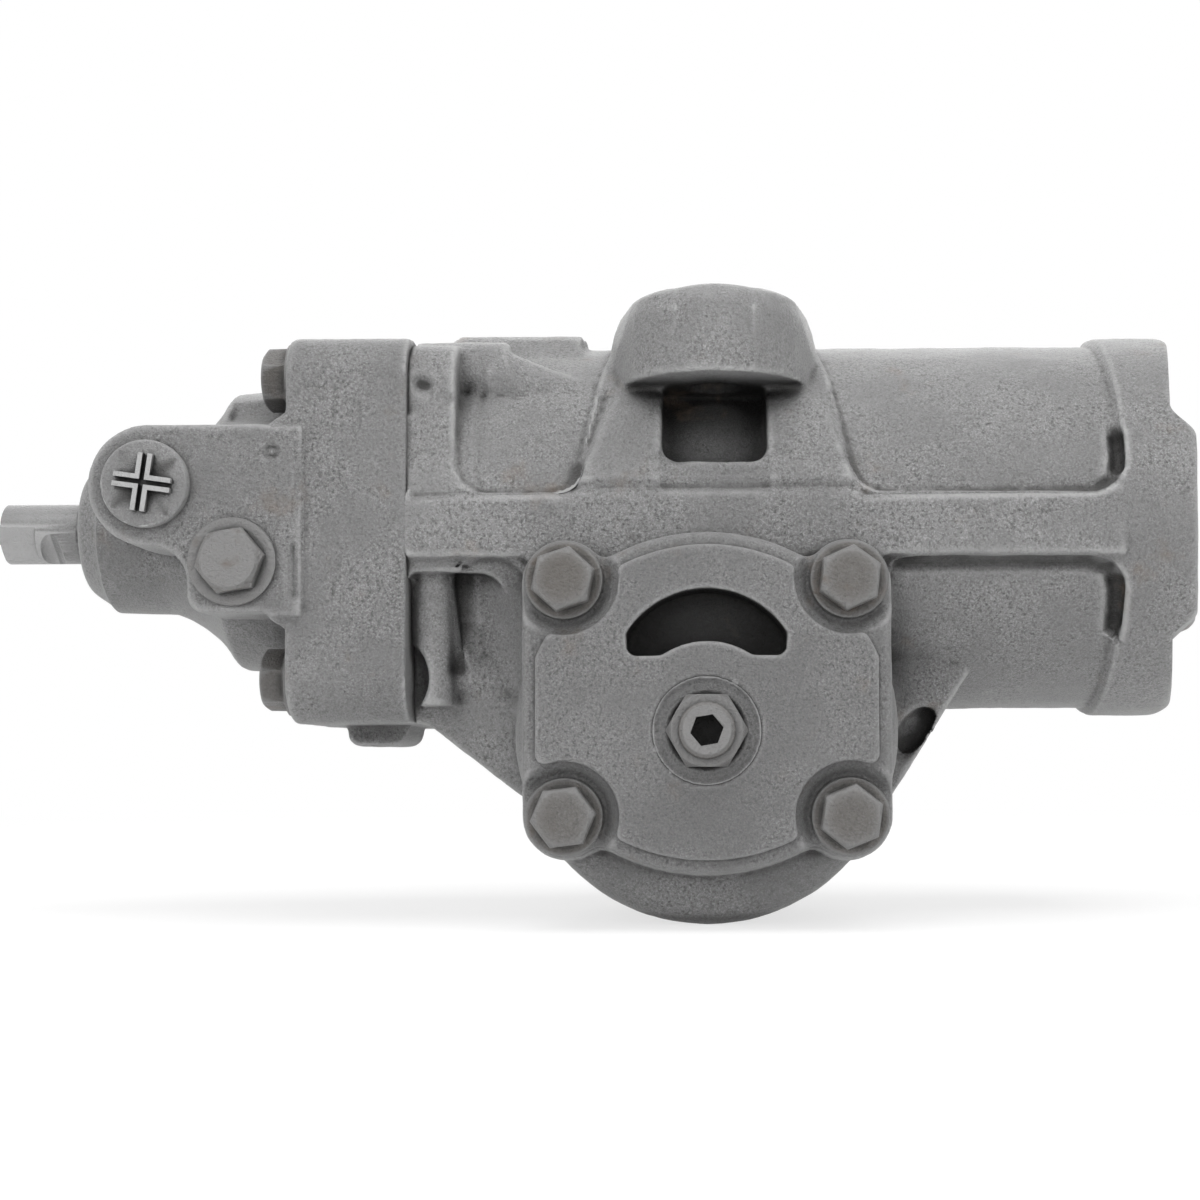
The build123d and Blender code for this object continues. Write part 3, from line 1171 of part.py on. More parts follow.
# Balls of the loaded circuit, evenly spaced on their helix
BALL_GAP = 0.35
ball_count = int(circuit.length / (2 * BALL_R + BALL_GAP))
with BuildPart() as recirculating_balls:
    for i in range(ball_count):
        with Locations(circuit @ ((i + 0.5) / ball_count)):
            Sphere(BALL_R)
recirculating_balls.part.label = "recirculating_balls"
export_step(recirculating_balls.part, "parts/recirculating_balls.step")

# Return guide: a bent tube from one end of the circuit to the other
with BuildPart() as ball_return_guide:
    top = WORM_Z + GUIDE_FLAT_Z + GUIDE_RISE
    low = WORM_Z + GUIDE_FLAT_Z - GUIDE_LEG
    start = (SECTOR_X + guide_in.X, WORM_Y + guide_in.Y)
    end = (SECTOR_X + guide_out.X, WORM_Y + guide_out.Y)
    with BuildLine() as guide_path:
        FilletPolyline((*start, low), (*start, top), (*end, top), (*end, low), radius=GUIDE_BEND_R)
    with BuildSketch(guide_path.line ^ 0):
        Circle(GUIDE_R)
        Circle(GUIDE_BORE_R, mode=Mode.SUBTRACT)
    sweep(path=guide_path.line)
ball_return_guide.part.label = "ball_return_guide"
export_step(ball_return_guide.part, "parts/ball_return_guide.step")

# Strap over the guide, held by two screws in the flat of the piston
with BuildPart() as guide_clamp:
    arch = GUIDE_R + SLIDE_FIT
    with BuildSketch(clamp_plane.offset(-CLAMP_WIDTH / 2)):
        with Locations((0, GUIDE_RISE)):
            Circle(arch + CLAMP_SHEET)
        with Locations((0, GUIDE_RISE / 2)):
            Rectangle(2 * (arch + CLAMP_SHEET), GUIDE_RISE)
        with Locations((0, CLAMP_SHEET / 2)):
            Rectangle(2 * CLAMP_HALF, CLAMP_SHEET)
        with Locations((0, GUIDE_RISE)):
            Circle(arch, mode=Mode.SUBTRACT)
        with Locations((0, GUIDE_RISE / 2)):
            Rectangle(2 * arch, GUIDE_RISE, mode=Mode.SUBTRACT)
        with Locations((0, -CLAMP_HALF)):
            Rectangle(4 * CLAMP_HALF, 2 * CLAMP_HALF, mode=Mode.SUBTRACT)
    extrude(amount=CLAMP_WIDTH)
    with BuildSketch(Plane(origin=clamp_plane.origin, x_dir=clamp_plane.x_dir)):
        with Locations((CLAMP_SCREW_X, 0), (-CLAMP_SCREW_X, 0)):
            Circle(CLAMP_SCREW_R + SLIDE_FIT)
    extrude(amount=CLAMP_SHEET, mode=Mode.SUBTRACT)
guide_clamp.part.label = "guide_clamp"
export_step(guide_clamp.part, "parts/guide_clamp.step")

with BuildPart() as guide_screws:
    screw_plane = Plane(origin=clamp_plane.origin, x_dir=clamp_plane.x_dir).offset(CLAMP_SHEET)
    with BuildSketch(screw_plane):
        with Locations((CLAMP_SCREW_X, 0), (-CLAMP_SCREW_X, 0)):
            Circle(CLAMP_SCREW_HEAD_R)
    extrude(amount=CLAMP_SCREW_HEAD)
    with BuildSketch(screw_plane):
        with Locations((CLAMP_SCREW_X, 0), (-CLAMP_SCREW_X, 0)):
            Circle(CLAMP_SCREW_R)
    extrude(amount=-CLAMP_SCREW_LENGTH)
guide_screws.part.label = "guide_screws"
export_step(guide_screws.part, "parts/guide_screws.step")

# Worm: ball screw, thrust flange and the slotted head that drives the valve sleeve
WORM_END_X = 20.0
HUB_R = 20.2
FLANGE_X = THRUST_SEAT_X + THRUST_STACK + THRUST_PLAY
FLANGE_END_X = FLANGE_X + THRUST_FLANGE
HUB_LENGTH = 7.0
HUB_X = FLANGE_X - HUB_LENGTH
TANG_R = 11.0
TANG_HALF = 7.0
TANG_LENGTH = 7.6
TANG_PLAY = 1.2
TANG_WELL = 8.0
TORSION_END_X = -92.0
BAR_PIN_R = 1.5
BAR_PIN_X = TORSION_END_X - 4.0
DRIVE_PIN_R = 1.25
DRIVE_PIN_LENGTH = 6.0
DRIVE_PIN_ORBIT = 18.0

with BuildPart() as worm_shaft:
    add(turned(WORM_SECTION, WORM_AXIS, [
        (HUB_X, FLANGE_X, HUB_R),
        (FLANGE_X, FLANGE_END_X, THRUST_R),
        (FLANGE_END_X, WORM_END_X, WORM_R),
    ]))
    chamfer(worm_shaft.edges().filter_by(GeomType.CIRCLE).sort_by(Axis.X)[-1], length=1.5)
    add(ball_groove(0, GROOVE_TURNS), mode=Mode.SUBTRACT)
    # Well for the tang of the input shaft, with play on each side of it
    with BuildSketch(across(HUB_X)):
        Circle(TANG_R + SIDE_GAP)
        Rectangle(4 * TANG_R, 2 * (TANG_HALF + TANG_PLAY), mode=Mode.INTERSECT)
    extrude(amount=TANG_WELL, mode=Mode.SUBTRACT)
    add(rod(across(HUB_X), TORSION_R + SEAL_FIT, TORSION_END_X - HUB_X + SIDE_GAP), mode=Mode.SUBTRACT)
    with BuildSketch(level(WORM_R)):
        with Locations((BAR_PIN_X, 0)):
            Circle(BAR_PIN_R + SEAL_FIT)
    extrude(amount=-2 * WORM_R, mode=Mode.SUBTRACT)
    with BuildSketch(across(HUB_X)):
        with Locations((0, DRIVE_PIN_ORBIT)):
            Circle(DRIVE_PIN_R + SEAL_FIT)
    extrude(amount=DRIVE_PIN_LENGTH / 2, mode=Mode.SUBTRACT)
worm_shaft.part.label = "worm_shaft"
export_step(worm_shaft.part, "parts/worm_shaft.step")

# Rotary valve: sleeve on the worm, spool on the input shaft, torsion bar between them
SLEEVE_X = VALVE_BORE_X + 0.6
SLEEVE_R = VALVE_BORE_R - RUN_FIT
SPOOL_R = 15.0
SPOOL_LEFT_X = SLEEVE_X + 1.4
SPOOL_RIGHT_X = HUB_X - 2.0
GROOVE_PITCH = (RETURN_X - PRESSURE_X) / 2
VALVE_GROOVE = 5.6
VALVE_GROOVE_DEPTH = 2.4
SLEEVE_RING = 1.8
SLEEVE_RING_DEPTH = 1.4
FEED_HOLE_R = 1.6
FEED_HOLES = 4
SPOOL_SLOTS = 6
SPOOL_SLOT_R = 2.2
groove_stations = [PRESSURE_X + i * GROOVE_PITCH for i in range(4)]
ring_stations = [PRESSURE_X + (i - 0.5) * GROOVE_PITCH for i in range(5)]

with BuildPart() as valve_sleeve:
    add(ring(across(SLEEVE_X), SLEEVE_R, SPOOL_R + RUN_FIT, HUB_X - SLEEVE_X))
    for station in groove_stations:
        add(ring(across(station - VALVE_GROOVE / 2), 2 * SLEEVE_R, SLEEVE_R - VALVE_GROOVE_DEPTH, VALVE_GROOVE),
            mode=Mode.SUBTRACT)
        for turn in range(FEED_HOLES):
            drill = Plane(origin=across(station).origin, z_dir=(0, 1, 0)).rotated((turn * 360 / FEED_HOLES, 0, 0))
            add(rod(drill, FEED_HOLE_R, SLEEVE_R), mode=Mode.SUBTRACT)
    for station in ring_stations:
        add(ring(across(station - SLEEVE_RING / 2), 2 * SLEEVE_R, SLEEVE_R - SLEEVE_RING_DEPTH, SLEEVE_RING),
            mode=Mode.SUBTRACT)
    with BuildSketch(across(HUB_X)):
        with Locations((0, DRIVE_PIN_ORBIT)):
            Circle(DRIVE_PIN_R + SEAL_FIT)
    extrude(amount=-DRIVE_PIN_LENGTH / 2, mode=Mode.SUBTRACT)
valve_sleeve.part.label = "valve_sleeve"
export_step(valve_sleeve.part, "parts/valve_sleeve.step")

with BuildPart() as sleeve_rings:
    for station in ring_stations:
        add(ring(across(station - SLEEVE_RING / 2 + SEAL_FIT), VALVE_BORE_R - SEAL_FIT,
                 SLEEVE_R - SLEEVE_RING_DEPTH + SEAL_FIT, SLEEVE_RING - 2 * SEAL_FIT))
sleeve_rings.part.label = "sleeve_rings"
export_step(sleeve_rings.part, "parts/sleeve_rings.step")

with BuildPart() as valve_drive_pin:
    with BuildSketch(across(HUB_X - DRIVE_PIN_LENGTH / 2 + SEAL_FIT)):
        with Locations((0, DRIVE_PIN_ORBIT)):
            Circle(DRIVE_PIN_R)
    extrude(amount=DRIVE_PIN_LENGTH - 2 * SEAL_FIT)
valve_drive_pin.part.label = "valve_drive_pin"
export_step(valve_drive_pin.part, "parts/valve_drive_pin.step")

INPUT_CHAMFER = 2.2
INPUT_CHAMFER_R = 5.4
INPUT_FLAT_DEPTH = 1.75
INPUT_FLAT_END_X = -212.2
INPUT_FLAT_TILT = 28.0
PINCH_GROOVE_X = -207.5
PINCH_GROOVE_R = 3.6
PINCH_GROOVE_DEPTH = 2.6
PINCH_GROOVE_TILT = 50.0
TORSION_STICK_OUT = 2.2

with BuildPart() as input_shaft:
    add(turned(WORM_SECTION, WORM_AXIS, [
        (INPUT_TIP_X, INPUT_STEP_X, INPUT_R),
        (INPUT_STEP_X, SPOOL_LEFT_X, INPUT_JOURNAL_R),
        (SPOOL_LEFT_X, SPOOL_RIGHT_X, SPOOL_R),
        (SPOOL_RIGHT_X, HUB_X + TANG_LENGTH, TANG_R),
    ]))
    tip_edge = input_shaft.edges().filter_by(GeomType.CIRCLE).sort_by(Axis.X)[0]
    chamfer(tip_edge, length=INPUT_CHAMFER_R, length2=INPUT_CHAMFER,
            reference=input_shaft.faces().sort_by(Axis.X)[0])
    # Tang with two flats, valve slots in the spool and the bore of the torsion bar
    with BuildSketch(across(SPOOL_RIGHT_X)):
        Rectangle(4 * TANG_R, 4 * TANG_R)
        Rectangle(4 * TANG_R, 2 * TANG_HALF, mode=Mode.SUBTRACT)
    extrude(amount=HUB_X + TANG_LENGTH - SPOOL_RIGHT_X, mode=Mode.SUBTRACT)
    with BuildSketch(across(SPOOL_LEFT_X + 4)):
        with PolarLocations(SPOOL_R, SPOOL_SLOTS, start_angle=30):
            Circle(SPOOL_SLOT_R)
    extrude(amount=SPOOL_RIGHT_X - SPOOL_LEFT_X - 8, mode=Mode.SUBTRACT)
    add(rod(across(INPUT_TIP_X), TORSION_R + RUN_FIT, HUB_X + TANG_LENGTH - INPUT_TIP_X), mode=Mode.SUBTRACT)
    # Flat and pinch bolt groove of the coupling end
    with BuildSketch(across(INPUT_TIP_X)):
        with Locations(Location((0, 0, 0), (0, 0, INPUT_FLAT_TILT))):
            with Locations((-INPUT_R - INPUT_R + INPUT_FLAT_DEPTH, 0)):
                Rectangle(2 * INPUT_R, 4 * INPUT_R)
    extrude(amount=INPUT_FLAT_END_X - INPUT_TIP_X, mode=Mode.SUBTRACT)
    groove_reach = INPUT_R + PINCH_GROOVE_R - PINCH_GROOVE_DEPTH
    groove_plane = Plane(
        origin=(SECTOR_X + PINCH_GROOVE_X,
                WORM_Y - groove_reach * cos(radians(PINCH_GROOVE_TILT)),
                WORM_Z - groove_reach * sin(radians(PINCH_GROOVE_TILT))),
        x_dir=(1, 0, 0),
        z_dir=(0, -sin(radians(PINCH_GROOVE_TILT)), cos(radians(PINCH_GROOVE_TILT))),
    )
    with BuildSketch(groove_plane):
        Circle(PINCH_GROOVE_R)
    extrude(amount=2 * INPUT_R, both=True, mode=Mode.SUBTRACT)
input_shaft.part.label = "input_shaft"
export_step(input_shaft.part, "parts/input_shaft.step")

with BuildPart() as torsion_bar:
    add(rod(across(INPUT_TIP_X - TORSION_STICK_OUT), TORSION_R, TORSION_END_X - INPUT_TIP_X + TORSION_STICK_OUT))
    with BuildSketch(level(2 * TORSION_R)):
        with Locations((BAR_PIN_X, 0)):
            Circle(BAR_PIN_R + SEAL_FIT)
    extrude(amount=-4 * TORSION_R, mode=Mode.SUBTRACT)
torsion_bar.part.label = "torsion_bar"
export_step(torsion_bar.part, "parts/torsion_bar.step")

with BuildPart() as torsion_bar_pin:
    with BuildSketch(level(WORM_R - SIDE_GAP)):
        with Locations((BAR_PIN_X, 0)):
            Circle(BAR_PIN_R)
    extrude(amount=-2 * (WORM_R - SIDE_GAP))
torsion_bar_pin.part.label = "torsion_bar_pin"
export_step(torsion_bar_pin.part, "parts/torsion_bar_pin.step")

# Thrust bearings on both sides of the worm flange, and the nut that sets them
RACE = 1.0
THRUST_ROLLER_R = 0.9
THRUST_ROLLERS = 12
THRUST_ROLLER_LENGTH = 7.0
WASHER_TURN = 17.0
RACE_NUT_WRENCH_R = 2.5


def thrust_bearing(start):
    """Two washers with short radial rollers between them."""
    gap = THRUST_STACK - 2 * RACE
    middle = (HUB_R + THRUST_R) / 2
    with BuildPart() as body:
        for washer_x in (start, start + RACE + gap):
            seam = Vector(0, cos(radians(WASHER_TURN)), sin(radians(WASHER_TURN)))
            face = Plane(origin=across(washer_x).origin, x_dir=seam, z_dir=(1, 0, 0))
            add(ring(face, THRUST_R, HUB_R + SIDE_GAP, RACE))
        for i in range(THRUST_ROLLERS):
            turn = radians(i * 360 / THRUST_ROLLERS)
            spoke = Vector(0, cos(turn), sin(turn))
            inner_end = spoke * (middle - THRUST_ROLLER_LENGTH / 2)
            seat = Plane(origin=across(start + THRUST_STACK / 2).origin + inner_end, z_dir=spoke)
            add(rod(seat, THRUST_ROLLER_R, THRUST_ROLLER_LENGTH))
    return body.part


with BuildPart() as worm_thrust_bearings:
    add(thrust_bearing(THRUST_SEAT_X))
    add(thrust_bearing(FLANGE_END_X + THRUST_PLAY))
worm_thrust_bearings.part.label = "worm_thrust_bearings"
export_step(worm_thrust_bearings.part, "parts/worm_thrust_bearings.step")

with BuildPart() as bearing_race_nut:
    nut_x = FLANGE_END_X + THRUST_PLAY + THRUST_STACK
    add(ring(across(nut_x), RACE_NUT_R, WORM_R + 4 * SLIDE_FIT, JOINT_X - nut_x))
    with BuildSketch(across(JOINT_X)):
        with PolarLocations((RACE_NUT_R + WORM_R) / 2, 4):
            Circle(RACE_NUT_WRENCH_R)
    extrude(amount=-4, mode=Mode.SUBTRACT)
bearing_race_nut.part.label = "bearing_race_nut"
export_step(bearing_race_nut.part, "parts/bearing_race_nut.step")

# Bearing, seal, dust seal and retaining ring of the input shaft
with BuildPart() as input_needle_bearing:
    add(needle_bearing(across(INPUT_BEARING_X), INPUT_JOURNAL_R, INPUT_BEARING_R, INPUT_BEARING_LENGTH, 1.5, 12))
input_needle_bearing.part.label = "input_needle_bearing"
export_step(input_needle_bearing.part, "parts/input_needle_bearing.step")

with BuildPart() as input_seal:
    add(ring(across(INPUT_SEAL_X), INPUT_SEAL_R, INPUT_JOURNAL_R + SEAL_FIT, INPUT_SEAL_LENGTH))
    add(ring(across(INPUT_SEAL_X + 1.5), INPUT_SEAL_R - 1.5, INPUT_JOURNAL_R + 1.5, INPUT_SEAL_LENGTH), mode=Mode.SUBTRACT)
input_seal.part.label = "input_seal"
export_step(input_seal.part, "parts/input_seal.step")

with BuildPart() as input_dust_seal:
    add(ring(across(INPUT_DUST_X), INPUT_SEAL_R, INPUT_JOURNAL_R + SEAL_FIT, INPUT_DUST_LENGTH))
input_dust_seal.part.label = "input_dust_seal"
export_step(input_dust_seal.part, "parts/input_dust_seal.step")

with BuildPart() as input_snap_ring:
    add(snap_ring(across(INPUT_SNAP_X + SLIDE_FIT / 2), INPUT_SEAL_R))
input_snap_ring.part.label = "input_snap_ring"
export_step(input_snap_ring.part, "parts/input_snap_ring.step")
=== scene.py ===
from math import cos, pi, radians, sin

import bmesh
import bpy
import numpy as np
from mathutils import Matrix, Vector, noise


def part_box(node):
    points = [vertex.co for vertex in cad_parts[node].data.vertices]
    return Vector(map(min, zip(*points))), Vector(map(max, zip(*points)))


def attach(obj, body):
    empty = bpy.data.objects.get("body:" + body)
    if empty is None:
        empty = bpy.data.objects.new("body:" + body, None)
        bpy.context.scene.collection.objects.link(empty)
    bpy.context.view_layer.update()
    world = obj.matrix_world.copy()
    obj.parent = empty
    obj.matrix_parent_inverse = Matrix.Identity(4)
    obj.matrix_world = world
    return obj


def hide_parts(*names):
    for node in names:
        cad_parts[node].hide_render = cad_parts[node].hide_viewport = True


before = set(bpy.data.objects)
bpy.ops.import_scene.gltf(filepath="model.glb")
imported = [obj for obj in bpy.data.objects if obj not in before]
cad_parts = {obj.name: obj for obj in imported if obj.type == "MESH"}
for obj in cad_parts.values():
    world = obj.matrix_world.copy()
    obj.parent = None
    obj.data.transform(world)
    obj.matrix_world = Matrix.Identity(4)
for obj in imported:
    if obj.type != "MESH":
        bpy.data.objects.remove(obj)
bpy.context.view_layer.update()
scene = bpy.context.scene
MM = 0.001

# Axes of the worm and of the sector shaft, in metres
SECTOR_X = -2.6 * MM
WORM_Y = 43.5 * MM
WORM_Z = -63.0 * MM
SECTOR_Z = -128.0 * MM


# Finishes
class Value:
    """A socket of a finish that can stand in a plain sum."""

    def __init__(self, finish, socket):
        self.finish = finish
        self.socket = socket

    def sum(self, operation, *terms):
        return self.finish.node("ShaderNodeMath", {"operation": operation}, dict(enumerate(terms)))

    def __add__(self, other):
        return self.sum("ADD", self, other)

    def __radd__(self, other):
        return self.sum("ADD", other, self)

    def __sub__(self, other):
        return self.sum("SUBTRACT", self, other)

    def __rsub__(self, other):
        return self.sum("SUBTRACT", other, self)

    def __mul__(self, other):
        return self.sum("MULTIPLY", self, other)

    def __rmul__(self, other):
        return self.sum("MULTIPLY", other, self)

    def __pow__(self, other):
        return self.sum("POWER", self, other)

    def over(self, low, high):
        """0 below low, 1 above high, and smooth between them."""
        return self.finish.node(
            "ShaderNodeMapRange", {"interpolation_type": "SMOOTHSTEP"}, {0: self, 1: low, 2: high}
        )


class Finish:
    """One material, made of nodes."""

    def __init__(self, name):
        self.material = bpy.data.materials.new(name)
        self.material.use_nodes = True
        self.tree = self.material.node_tree
        self.tree.nodes.clear()
        self.place = self.node("ShaderNodeTexCoord", output="Object")

    def node(self, kind, settings=None, sockets=None, output=0):
        made = self.tree.nodes.new(kind)
        for key, setting in (settings or {}).items():
            setattr(made, key, setting)
        for key, given in (sockets or {}).items():
            if isinstance(given, Value):
                self.tree.links.new(given.socket, made.inputs[key])
            else:
                made.inputs[key].default_value = given
        return Value(self, made.outputs[output]) if made.outputs else made

    def grain(self, scale, detail=2.0, rough=0.5, stretch=None):
        place = self.place
        if stretch:
            place = self.node("ShaderNodeMapping", None, {"Vector": place, "Scale": stretch})
        return self.node(
            "ShaderNodeTexNoise",
            {"noise_dimensions": "3D"},
            {"Vector": place, "Scale": scale, "Detail": detail, "Roughness": rough},
        )

    def blend(self, mask, low, high, how="MIX"):
        made = self.tree.nodes.new("ShaderNodeMix")
        made.data_type = "RGBA"
        made.blend_type = how
        for key, given in ((0, mask), (6, low), (7, high)):
            if isinstance(given, Value):
                self.tree.links.new(given.socket, made.inputs[key])
            else:
                made.inputs[key].default_value = given
        return Value(self, made.outputs[2])

    def bump(self, height, distance, strength=1.0, under=None):
        sockets = {"Height": height, "Distance": distance, "Strength": strength}
        if under:
            sockets["Normal"] = under
        return self.node("ShaderNodeBump", None, sockets)

    def light_path(self, kind):
        return self.node("ShaderNodeLightPath", output=f"Is {kind} Ray")

    def surface(self, **sockets):
        named = {key.replace("_", " "): given for key, given in sockets.items()}
        shader = self.node("ShaderNodeBsdfPrincipled", None, named, output="BSDF")
        self.node("ShaderNodeOutputMaterial", None, {"Surface": shader})
        return self.material


def grey(level, warmth=0.0):
    return (level * (1 + warmth), level, level * (1 - warmth), 1.0)


def coat_finish(name, level, sand, lumps, rough, rust=0.0, warmth=0.0):
    """Grey coat over iron or steel: sandy grain and low lumps, with painted shade in the grain's pits, in
    creases, in corners and in deep hollows (there partly the oily bare metal inside the pockets), a painted
    highlight on the grain's tops and along edges, and a painted reflection at grazing angles.
    """
    finish = Finish(name)
    fine = finish.grain(1900.0, 3.0, 0.7)
    coarse = finish.grain(1050.0, 4.0, 0.62)
    lump = finish.grain(150.0, 2.0, 0.5)
    cloud = finish.grain(24.0, 3.0, 0.55)
    rough_spots = finish.grain(48.0, 3.0, 0.55).over(0.36, 0.62) * 0.75 + 0.45
    # Painted shade in deep hollows and under overhangs from a long ambient occlusion, partly also the oily
    # bare metal left unpainted inside the pockets
    hollow_painted_shade_and_oily_metal = finish.node(
        "ShaderNodeAmbientOcclusion", {"samples": 12, "only_local": True}, {"Distance": 0.028}, output="AO"
    )
    # Painted shade: a short ambient occlusion darkens tight corners
    painted_corner_shade = finish.node("ShaderNodeAmbientOcclusion", {"samples": 8}, {"Distance": 0.005}, output="AO")
    point = finish.node("ShaderNodeNewGeometry", output="Pointiness")
    # Painted reflection: the coat's colour is lightened towards grazing angles, where the bright studio would
    # be reflected
    rim = finish.node("ShaderNodeLayerWeight", None, {"Blend": 0.5}, output="Facing") ** 2.2
    # Painted highlight: convex edges are lightened from Pointiness
    edge = point.over(0.503, 0.545)
    # Painted shade: concave creases are darkened from Pointiness
    painted_crease_shade = 1 - point.over(0.455, 0.494)
    tone = finish.blend(cloud.over(0.33, 0.7), grey(level * 0.9, warmth), grey(level * 1.1, warmth * 0.5))
    # Painted highlight on the raised tops of the sand grain, where the fine bump rises
    tone = finish.blend(fine.over(0.42, 0.72) * 0.8 * sand * rough_spots, tone, grey(level * 1.9))
    # Painted shade in the pits of the sand grain, where the coarse bump sinks
    pit_painted_shade = (1 - coarse.over(0.26, 0.56)) * 0.75 * sand * rough_spots
    tone = finish.blend(pit_painted_shade, tone, grey(level * 0.3, 0.02))
    # Painted reflection at grazing angles
    tone = finish.blend(rim * 0.6, tone, grey(level * 2.3))
    # Painted highlight along convex edges
    tone = finish.blend(edge * 0.75, tone, grey(level * 2.1))
    # Painted shade in creases
    tone = finish.blend(painted_crease_shade * 0.8, tone, grey(level * 0.22, 0.03))
    # Painted shade in tight corners
    tone = finish.blend((1 - painted_corner_shade.over(0.3, 0.9)) * 0.7, tone, grey(level * 0.2, 0.04))
    # Deep hollows almost black: painted shade, and inside the pockets partly oily bare metal
    tone = finish.blend(1 - hollow_painted_shade_and_oily_metal.over(0.36, 0.8), tone, grey(0.004, 0.08))
    if rust:
        stain = finish.grain(60.0, 4.0, 0.6).over(0.6, 0.76) * rust
        tone = finish.blend(stain, tone, (level * 0.95, level * 0.68, level * 0.48, 1.0))
    relief = finish.bump(lump, 0.0014 * lumps, 0.5)
    relief = finish.bump(coarse, 0.0016 * sand, 0.9, relief)
    relief = finish.bump(fine, 0.0006 * sand, 0.9, relief)
    return finish.surface(
        Base_Color=tone, Roughness=rough + 0.15 * (cloud - 0.5), Normal=relief, IOR=1.5,
        Specular_IOR_Level=0.35,
    )


def steel_finish(name, level, rough, along=(1.0, 1.0, 1.0), warmth=0.0):
    """Turned or ground steel with fine tool marks and a little oil."""
    finish = Finish(name)
    marks = finish.grain(900.0, 3.0, 0.6, stretch=along)
    cloud = finish.grain(40.0, 2.0, 0.5)
    tone = finish.blend(marks.over(0.3, 0.7), grey(level * 0.8, warmth), grey(level * 1.1, warmth))
    relief = finish.bump(marks, 0.0001, 0.4)
    return finish.surface(
        Base_Color=tone, Metallic=1.0, Roughness=rough + 0.15 * (cloud - 0.4), Normal=relief
    )


def rubber_finish(name, level, rough):
    finish = Finish(name)
    fine = finish.grain(1400.0, 2.0)
    cloud = finish.grain(60.0, 3.0)
    tone = finish.blend(cloud.over(0.3, 0.7), grey(level * 0.75), grey(level * 1.3))
    return finish.surface(
        Base_Color=tone, Roughness=rough + 0.1 * (fine - 0.5), Normal=finish.bump(fine, 0.0001, 0.5)
    )


def paper_finish(name, level, own_light):
    """Studio paper: a soft pale sheet, a little brighter to the eye than to the lamps."""
    finish = Finish(name)
    cloud = finish.grain(3.0, 2.0)
    tone = finish.blend(cloud.over(0.2, 0.8), grey(level * 0.985), grey(level))
    sheet = finish.node("ShaderNodeBsdfDiffuse", None, {"Color": tone})
    seen = finish.light_path("Camera")
    for kind in ("Glossy", "Transmission"):
        seen = seen.sum("MAXIMUM", seen, finish.light_path(kind))
    behind = finish.node("ShaderNodeSeparateXYZ", None, {0: finish.place}, output=1).over(0.35, 1.2)
    glow = finish.node("ShaderNodeEmission", None, {"Color": (1, 1, 1, 1), "Strength": 1.0})
    share = own_light + behind * (1 - own_light)
    mixed = finish.node("ShaderNodeMixShader", None, {0: seen * share, 1: sheet, 2: glow})
    finish.node("ShaderNodeOutputMaterial", None, {"Surface": mixed})
    return finish.material


IRON_COAT = coat_finish("iron_coat", 0.208, sand=1.0, lumps=1.0, rough=0.46, rust=0.3)
VALVE_COAT = coat_finish("valve_coat", 0.184, sand=1.0, lumps=0.8, rough=0.46, rust=0.35)
COVER_COAT = coat_finish("cover_coat", 0.152, sand=0.9, lumps=0.8, rough=0.46, rust=0.35)
BOLT_COAT = coat_finish("bolt_coat", 0.09, sand=0.55, lumps=0.3, rough=0.4, rust=0.8, warmth=0.09)
CAP_COAT = coat_finish("cap_coat", 0.18, sand=0.6, lumps=0.3, rough=0.42)
SHAFT_COAT = coat_finish("shaft_coat", 0.155, sand=0.4, lumps=0.1, rough=0.38)
STEEL = steel_finish("ground_steel", 0.6, 0.28)
BRONZE = steel_finish("bearing_bronze", 0.5, 0.3, warmth=0.3)
BRASS = steel_finish("turned_brass", 0.6, 0.3, warmth=0.35)
FLUOROPOLYMER = rubber_finish("fluoropolymer", 0.7, 0.5)
RUBBER = rubber_finish("black_rubber", 0.025, 0.6)

NODE_FINISH = {
    "gear_housing": IRON_COAT, "valve_housing": VALVE_COAT, "sector_cover": COVER_COAT,
    "cover_bolts": BOLT_COAT, "valve_housing_bolts": BOLT_COAT, "adjuster_screw": BOLT_COAT,
    "adjuster_locknut": BOLT_COAT, "return_port_plug": BOLT_COAT, "pressure_port_cap": CAP_COAT,
    "input_shaft": SHAFT_COAT, "torsion_bar": SHAFT_COAT, "cover_bushing": BRONZE, "port_seats": BRASS,
    "piston_ring": FLUOROPOLYMER, "sleeve_rings": FLUOROPOLYMER,
    "cover_seal_ring": RUBBER, "housing_joint_ring": RUBBER, "sector_oil_seal": RUBBER,
    "sector_dust_seal": RUBBER, "input_seal": RUBBER, "input_dust_seal": RUBBER,
}
for name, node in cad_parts.items():
    finish = NODE_FINISH.get(name, STEEL)
    node.data.materials.clear()
    node.data.materials.append(finish)


# Bolt seats of the side cover: station and height
COVER_SEATS = ((-40, -22.6), (40, -22.6), (-40, -88.9), (40, -88.9))

# Castings. Stations, fronts and heights are in millimetres from the sector axis and the worm axis.
JOINT_X = -86.5 * MM
BARREL = 57.0
CHAMBER_HEIGHT = -65.0
PLATEAU_FRONT = (WORM_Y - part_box("sector_cover")[0][1]) / MM


def place(x, front, height):
    """A point from its station along the worm, its distance in front of the worm axis and its height."""
    return Vector((SECTOR_X + x * MM, WORM_Y - front * MM, WORM_Z + height * MM))


def settle(name, mesh, finish):
    """A finished piece: its place is in its mesh and its object sits at the origin."""
    piece = bpy.data.objects.new(name, mesh)
    scene.collection.objects.link(piece)
    mesh.materials.clear()
    mesh.materials.append(finish)
    return piece


def evaluated(piece):
    """The piece's mesh with its modifiers worked in, which are then removed."""
    bpy.context.view_layer.update()
    mesh = bpy.data.meshes.new_from_object(piece.evaluated_get(bpy.context.evaluated_depsgraph_get()))
    piece.modifiers.clear()
    return mesh


